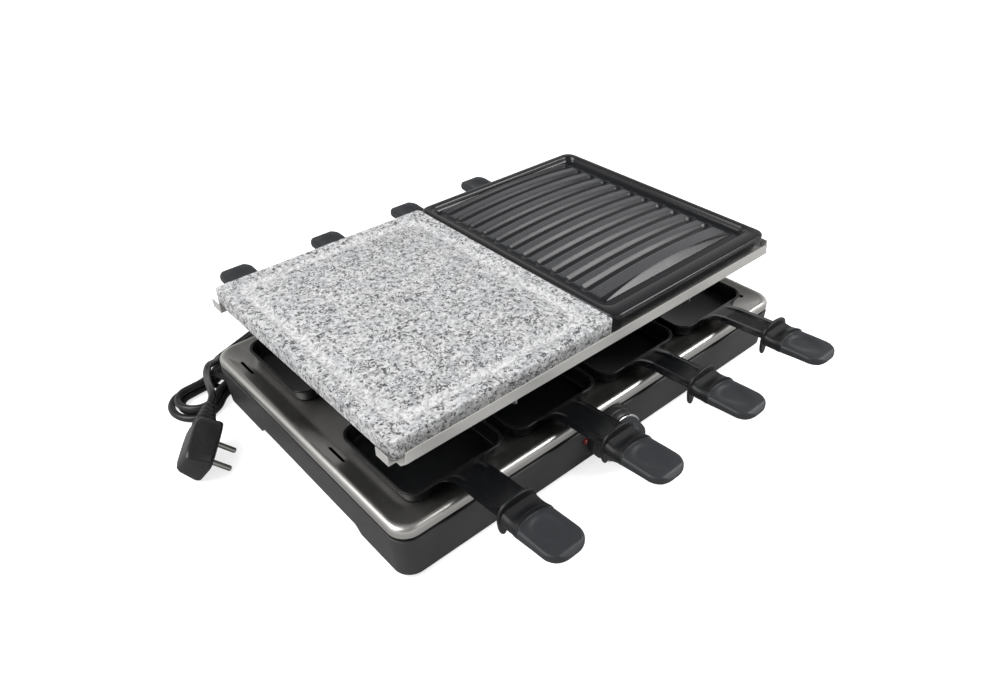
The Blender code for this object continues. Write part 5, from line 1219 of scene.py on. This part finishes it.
def on_each_pan(slot, node_name, *pieces):
    """Shows (name, mesh, rounding, segments) pieces on every pan's body."""
    for number in range(2 * PANS_PER_SIDE):
        row = "front" if number < PANS_PER_SIDE else "back"
        body = f"pan_{row}_{number % PANS_PER_SIDE + 1}"
        for name, source, rounding, segments in pieces:
            data = source.copy()
            data.transform(in_place(number))
            replaced = [f"{node_name}_{number + 1}"]
            show(f"{name}_{number + 1}", data, body, replaced, rounding, segments, PAN_SHARP)


on_each_pan("pan_coating", "pan", ("pan_basin", pan_data, 0.0, 2))

# %% [markdown]
# ## Handles
#
# Moulded in one shot: a guard plate with two wings, a valley, a thumb ridge that bows towards the guard,
# and a spoon-shaped grip whose end is rounded in plan. Sculpting would do it, but not twice alike. The grip
# climbs along its length through close sections, and the dish and the ridge's bow are moves of the finished
# points.

# %% Sections of the grip
HANDLE_END = 0.2456
HANDLE_HALF = 0.0175
HANDLE_UNDER_Z = 0.0618
HANDLE_LIFT = 0.0022
COLLAR_HALF = 0.0169
COLLAR_TOP_Z = 0.0748
COLLAR_SHOULDER = 0.004
VALLEY = 0.0014
RIDGE_Y = 0.2030
RIDGE_TOP_Z = 0.0766
RIDGE_DOME = 0.0023
RIDGE_FLAT = 0.0004
RIDGE_STEP = 0.0016
GRIP_TOP_Z = 0.0730
GRIP_RISE = 0.0012
GRIP_RISE_END_SHARE = 0.8
GRIP_END_Z = 0.0668
TIP_CORNER = 0.0130
TIP_EDGE = 0.0016

shelf, tip_start, tip_end = RIDGE_Y + RIDGE_STEP, HANDLE_END - TIP_CORNER, HANDLE_END - TIP_EDGE * 2
ridge_foot_z = RIDGE_TOP_Z - RIDGE_DOME
TOP_STATIONS = (
    (GUARD_Y, COLLAR_TOP_Z), ((GUARD_Y + RIDGE_Y) / 2, COLLAR_TOP_Z - VALLEY), (RIDGE_Y, ridge_foot_z),
    (RIDGE_Y + RIDGE_FLAT, ridge_foot_z), (shelf, GRIP_TOP_Z), (tip_start, GRIP_TOP_Z + GRIP_RISE),
    (tip_end, GRIP_TOP_Z + GRIP_RISE * GRIP_RISE_END_SHARE), (HANDLE_END, GRIP_TOP_Z - TIP_EDGE),
)
UNDER_STATIONS = (
    (GUARD_Y, HANDLE_UNDER_Z),
    (RIDGE_Y, HANDLE_UNDER_Z + HANDLE_LIFT / 2), (shelf, HANDLE_UNDER_Z + HANDLE_LIFT),
    (tip_start, GRIP_END_Z), (tip_end, GRIP_END_Z), (HANDLE_END, GRIP_END_Z + TIP_EDGE),
)
HALF_STATIONS = (
    (GUARD_Y, COLLAR_HALF), (RIDGE_Y - COLLAR_SHOULDER, COLLAR_HALF), (RIDGE_Y, HANDLE_HALF),
    (HANDLE_END, HANDLE_HALF),
)
print("handle from", GUARD_Y, "to", HANDLE_END, "top at", RIDGE_TOP_Z)

# %% The grip's body
GRIP_SECTIONS = 46
GRIP_SEGMENTS = 8
GRIP_CUTS = 15
GRIP_ROUND_SHARE = 0.84
NEAR_RIDGE = (-0.0016, -0.0006, 0.0, 0.0003, 0.0006, 0.0009, 0.0012, 0.0016, 0.0024)
NEAR_TIP_SHARES = (0.14, 0.09, 0.05, 0.02, 0.0)

places = [GUARD_Y + (HANDLE_END - GUARD_Y) * part / GRIP_SECTIONS for part in range(GRIP_SECTIONS - 1)]
places += [RIDGE_Y + offset for offset in NEAR_RIDGE]
places += [HANDLE_END - TIP_CORNER * share for share in NEAR_TIP_SHARES]
steps = []
for place in sorted(places):
    top, under = (along(stations, place, eased=False) for stations in (TOP_STATIONS, UNDER_STATIONS))
    half, across = (top - under) / 2, along(HALF_STATIONS, place)
    if place > tip_start:
        across -= corner_loss(TIP_CORNER, place - tip_start)
    steps.append((across, half, half * GRIP_ROUND_SHARE, place, (top + under) / 2))
mesh = bmesh.new()
collar = mesh.verts.layers.float.new("collar")
tip_face = climb(mesh, steps, GRIP_SEGMENTS, cuts=GRIP_CUTS)
bmesh.ops.poke(mesh, faces=[tip_face])

# %% The dish, the ridge and its bow
GRIP_DISH = 0.0015
DISH_MIDDLE_Y = 0.2150
DISH_HALF_WIDTH = 0.0130
DISH_TO_RIDGE, DISH_TO_TIP = 0.0095, 0.0260
DISH_EDGE_SHARE = 0.55
UPPER_FROM = 0.003
RIDGE_RUN = 0.0034
RIDGE_DROP_FROM, RIDGE_DROP = 0.0002, 0.0009
RIDGE_BOW = 0.0046
BOW_FROM, BOW_RUN = 0.004, 0.008
BOW_TO, BOW_FADE = 0.022, 0.020
COLLAR_EDGE = 0.0006

for point in mesh.verts:
    place = point.co.z
    across = min(1.0, abs(point.co.x) / HANDLE_HALF)
    point[collar] = 1 - ease((place - RIDGE_Y - COLLAR_EDGE) / COLLAR_EDGE)
    if point.co.y > along(UNDER_STATIONS, place, eased=False) + UPPER_FROM:
        length = DISH_TO_RIDGE if place < DISH_MIDDLE_Y else DISH_TO_TIP
        away = math.hypot(point.co.x / DISH_HALF_WIDTH, (place - DISH_MIDDLE_Y) / length)
        point.co.y -= GRIP_DISH * ease((1 - away) / DISH_EDGE_SHARE)
        if place < RIDGE_Y:
            on_ridge = math.exp(-(((place - RIDGE_Y) / RIDGE_RUN) ** 2))
        else:
            on_ridge = 1 - ease((place - RIDGE_Y - RIDGE_DROP_FROM) / RIDGE_DROP)
        point.co.y += RIDGE_DOME * (1 - across * across) * on_ridge
    bowed = ease((place - GUARD_Y - BOW_FROM) / BOW_RUN) * ease((RIDGE_Y + BOW_TO - place) / BOW_FADE)
    point.co.z += RIDGE_BOW * across * across * bowed
for point in mesh.verts:
    point.co = (point.co.x, -point.co.z, point.co.y)
grip_data = settle_mesh("handle_grip", mesh, "handle_plastic")

# %% Sizes of the guard and its wings
GUARD_HALF = 0.0180
GUARD_TOP_Z = 0.0822
GUARD_SIDE_Z = 0.0700
GUARD_TIP_Z = 0.0522
GUARD_EASE = 0.0009
GUARD_DROPS = ((0.0, 0.0), (0.35, 0.0007), (0.68, 0.0026), (0.90, 0.0062))
WING = 0.0081
WING_SHARES = ((0.2, 0.55), (0.42, 0.12), (0.7, 0.0), (0.95, 0.25), (1.08, 0.8))
WING_ROOT_SHARE, WING_ROOT_RISE = 0.05, 0.001
WING_INSIDE_SHARE, WING_INSIDE_RISE = 1.5, 0.0016
GUARD_MIDDLE_RISE = 0.0022
OUTLINE_PARTS = 6


# %% The guard's outline and sheet
def rounded_line(corners, parts):
    """Points on a smooth curve through the corners."""
    corners = [Vector(corner) for corner in corners]
    ends = [2 * corners[0] - corners[1], *corners, 2 * corners[-1] - corners[-2]]
    line = []
    for a, b, c, d in zip(ends, ends[1:], ends[2:], ends[3:]):
        line += curved(b, c, (c - a) / 2, (d - b) / 2, parts)
    return [*line, corners[-1]]


corners = [(share * GUARD_HALF, GUARD_TOP_Z - drop) for share, drop in GUARD_DROPS]
corners += [(GUARD_HALF, GUARD_SIDE_Z)]
corners += [(GUARD_HALF - WING * WING_ROOT_SHARE, HANDLE_UNDER_Z + WING_ROOT_RISE)]
corners += [(GUARD_HALF - WING * inward, GUARD_TIP_Z + WING * up) for inward, up in WING_SHARES]
corners += [(GUARD_HALF - WING * WING_INSIDE_SHARE, HANDLE_UNDER_Z + WING_INSIDE_RISE)]
half = rounded_line([*corners, (0.0, HANDLE_UNDER_Z + GUARD_MIDDLE_RISE)], OUTLINE_PARTS)
outline = [(x, -GUARD_Y, z) for x, z in half] + [(-x, -GUARD_Y, z) for x, z in reversed(half[1:-1])]
mesh = bmesh.new()
thick_outline(mesh, outline, (0, GUARD_SHEET, 0))
guard_data = settle_mesh("handle_guard", mesh, "collar_plastic")
grip, guard = ("handle_grip", grip_data, 0.0, 3), ("handle_guard", guard_data, GUARD_EASE, 3)
on_each_pan("handle_plastic", "pan_handle", grip, guard)

# %% [markdown]
# ## Knob, ring and collar
#
# Three round pieces on the thermostat's spindle: the collar belongs to the housing, the ring is thin and
# bright, and the knob is a cone from which two scoops leave a grip bar. Round pieces are quickest turned,
# as on a lathe: half the section, spun once round. Tables of shares say how each edge is eased, inward and
# down from its corner.

# %% Turned on the front wall
TURNED_STEPS = 96
BUSH_HOLE = 0.0051
BEZEL_DRUM = 0.0066
BEZEL_MOUTH = 0.0230
BEZEL_WALL = 0.0022
DRUM_EDGE_SHARES = ((0, 0.4), (0.1, 0.12), (0.4, 0))
MOUTH_EDGE_SHARES = ((-0.05, 0.35), (0.2, 0.08), (0.5, 0), (0.85, 0.1), (1, 0.4))
RING_SHARES = ((0.2, 0), (0, 0.2), (0.06, 0.6), (0.35, 0.92), (0.7, 1))
KNOB_RING_HEIGHT = 0.0012


def eased_edge(radius, height, size, shares):
    return [(radius - size * inward, height - size * down) for inward, down in shares]


def turned_on_wall(name, profile, finish_name, node_name):
    """A turned shape on its node's place, whose foot is the node's innermost end."""
    low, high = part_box(node_name)
    middle = (low + high) / 2
    data = settle_mesh(name, spun(profile, TURNED_STEPS), finish_name)
    upright = Matrix.Rotation(QUARTER_TURN, 4, "X")
    data.transform(Matrix.Translation((middle.x, high.y, middle.z)) @ upright)
    return data


# %% Collar and ring
low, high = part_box("knob_bezel")
outer, depth = (high.x - low.x) / 2, high.y - low.y
profile = [(BUSH_HOLE, 0), (outer, 0), *eased_edge(outer, BEZEL_DRUM, BEZEL_WALL, DRUM_EDGE_SHARES)]
profile += eased_edge(BEZEL_MOUTH, depth, BEZEL_WALL, MOUTH_EDGE_SHARES)
profile += [(BEZEL_MOUTH - BEZEL_WALL, BEZEL_WALL), (BUSH_HOLE, BEZEL_WALL), (BUSH_HOLE, 0)]
data = turned_on_wall("collar", profile, "cord_plastic", "knob_bezel")
show("collar", data, "base", ["knob_bezel"], sharp=50)

low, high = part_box("knob_ring")
outer, thick = (high.x - low.x) / 2, high.y - low.y
knob_low, knob_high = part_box("thermostat_knob")
knob_radius, knob_height = (knob_high.x - knob_low.x) / 2, knob_high.y - knob_low.y
inner = knob_radius - KNOB_RING_HEIGHT
profile = [(inner, 0), *((outer - thick * inward, thick * up) for inward, up in RING_SHARES)]
data = turned_on_wall("ring", [*profile, (inner, thick), (inner, 0)], "chrome", "knob_ring")
show("ring", data, "knob", ["knob_ring"], sharp=50)

# %% Sizes of the knob
KNOB_TIP_RADIUS = 0.0180
KNOB_GRIP_WIDTH = 0.0098
KNOB_DISH = 0.0038
KNOB_EASE = 0.0014
KNOB_BEVEL = 0.0004
KNOB_TIP_SHARES = ((-0.15, 1), (0.1, 0.4), (0.5, 0.1), (1, 0))
KNOB_FOOT_SHARE = 1.2
KNOB_SIDE_SHARE = 0.1
SCOOP_REACH_SHARE = 1.1
SCOOP_EASE_SHARE = 0.45

# %% The knob and its two scoops
foot = KNOB_RING_HEIGHT * KNOB_FOOT_SHARE
profile = [(0, foot), (knob_radius, foot)]
profile += [(knob_radius - KNOB_EASE * KNOB_SIDE_SHARE, KNOB_RING_HEIGHT + KNOB_EASE)]
profile += [*eased_edge(KNOB_TIP_RADIUS, knob_height, KNOB_EASE, KNOB_TIP_SHARES), (0, knob_height)]
data = turned_on_wall("knob", profile, "handle_plastic", "thermostat_knob")
middle, reach = (knob_low + knob_high) / 2, knob_radius * SCOOP_REACH_SHARE
cutters = []
for side in (-1, 1):
    near = middle.x + side * KNOB_GRIP_WIDTH / 2
    far = near + side * knob_radius
    scoop = block(
        (min(near, far), knob_low.y - KNOB_DISH, middle.z - reach),
        (max(near, far), knob_low.y + KNOB_DISH, middle.z + reach),
    )
    ease_edges(scoop, list(scoop.edges), KNOB_DISH * SCOOP_EASE_SHARE, 5)
    cutters.append(scoop)
show("knob", cut_out(data, cutters), "knob", ["thermostat_knob"], KNOB_BEVEL, 2, 35)

# %% [markdown]
# ## Finishes on the model's nodes
#
# What no piece replaces keeps the model's own mesh: frame, supports, element, screws, feet, lens, pins.
# Each node gets the finish of the longest name in the table that its own name starts with, so that numbered
# parts need one row.

# %% A finish for each node
NODE_STARTS = {
    "granite": ["granite_stone"],
    "cast_plate": ["grill_plate"],
    "frame_steel": ["top_frame"],
    "stainless": ["reflector_tray", "support"],
    "chrome": ["knob_ring"],
    "pin_steel": ["plug_pin"],
    "heater_steel": ["heating_element"],
    "screw_steel": ["cover_screw", "pan_screw", "thermostat_shaft"],
    "handle_plastic": ["pan_handle", "thermostat_knob"],
    "pan_coating": ["pan"],
    "base_plastic": ["base_housing", "bottom_cover", "knob_bezel"],
    "cord_plastic": ["cord", "plug_body"],
    "lens": ["indicator_lens"],
    "rubber": ["rubber_foot", "cord_tie"],
    "ceramic": ["terminal_block", "thermostat", "lamp_body"],
}
finish_of = {start: name for name, starts in NODE_STARTS.items() for start in starts}
for name, obj in nodes.items():
    longest = max((start for start in finish_of if name.startswith(start)), key=len)
    for slot in obj.material_slots:
        slot.material = FINISHES[finish_of[longest]]
print(len(nodes), "nodes finished")

# %% [markdown]
# ## Floor
#
# A studio's white floor: white to the camera, but with the grill's soft shadow kept on it, which a plain
# background would lose. Glossy rays see a greyer floor, because the photograph's black walls and necks
# mirror little white.

# %% The floor
FLOOR_SIZE = 14
FLOOR_WHITE = (0.86, 0.86, 0.86)
MIRRORED_WHITE = (0.34, 0.34, 0.34)
FLOOR_GLOW = 0.72
MIRRORED_FLOOR_GLOW = 0.10


def white_finish():
    made, tree, shader = finish("floor_white", FLOOR_WHITE, 0.9)
    path = node(tree, "LightPath").outputs
    seen = math_node(tree, "MULTIPLY", path["Is Camera Ray"], FLOOR_GLOW)
    mirrored = math_node(tree, "MULTIPLY", path["Is Glossy Ray"], MIRRORED_FLOOR_GLOW)
    glow = node(tree, "Emission", {"Strength": math_node(tree, "ADD", seen, mirrored)}).outputs["Emission"]
    matt = blend_colour(tree, path["Is Glossy Ray"], FLOOR_WHITE, MIRRORED_WHITE)
    feed(tree, shader.inputs["Base Color"], matt)
    added = node(tree, "AddShader", enumerate((shader.outputs["BSDF"], glow))).outputs["Shader"]
    feed(tree, tree.nodes["Material Output"].inputs["Surface"], added)
    return made


def flat_floor(size):
    bpy.ops.mesh.primitive_plane_add(size=size)
    floor = bpy.context.object
    floor.name = "floor"
    floor.data.materials.append(white_finish())
    return floor


flat_floor(FLOOR_SIZE)
print("floor of", FLOOR_SIZE, "m")

# %% [markdown]
# ## Lamps and world
#
# One large soft lamp above the left end models the stone and the housing's side, and a softbox from the
# front right draws the bright line along the tray's bead and the plate's front flank. The world is white to
# the camera, softly lights matt surfaces, and shows mirrors a ceiling that darkens upwards, which steel
# needs to look like steel.

# %% Lamps
LAMPS = (
    ("key", (-1.15, 0.35, 1.35), (0, 0, 0.05), 1.2, 20),
    ("softbox", (0.92, -0.72, 1.15), (0.1, 0, 0.1), 0.85, 13.5),
)
for name, place, target, size, power in LAMPS:
    data = bpy.data.lights.new(name, "AREA")
    data.shape = "RECTANGLE"
    data.size = data.size_y = size
    data.energy = power
    lamp = placed(name, data)
    lamp.location = place
    lamp.rotation_euler = (Vector(target) - Vector(place)).to_track_quat("-Z", "Y").to_euler()
    print(name, "lamp,", power, "W")

# %% A white background, with a darker ceiling in mirrors
CEILING_STOPS = ((0.10, 1.0), (0.32, 0.52), (0.6, 0.23), (1.0, 0.12))
WORLD_LIGHT = 0.40

world = bpy.data.worlds.new("studio")
world.use_nodes = True
tree = world.node_tree
path = node(tree, "LightPath").outputs
upwards = node(tree, "SeparateXYZ", {"Vector": node(tree, "TexCoord").outputs["Generated"]}).outputs["Z"]
ceiling = ramp(tree, upwards, CEILING_STOPS, smooth=True)
clear = math_node(tree, "MAXIMUM", path["Is Camera Ray"], path["Is Transmission Ray"])
plain = span(tree, clear, WORLD_LIGHT, 1.0, ALL)
mirrored = math_node(tree, "MULTIPLY", path["Is Glossy Ray"], math_node(tree, "SUBTRACT", ceiling, plain))
background = tree.nodes["Background"]
background.inputs["Color"].default_value = (1, 1, 1, 1)
feed(tree, background.inputs["Strength"], math_node(tree, "ADD", plain, mirrored))
scene.world = world
print("world light", WORLD_LIGHT)
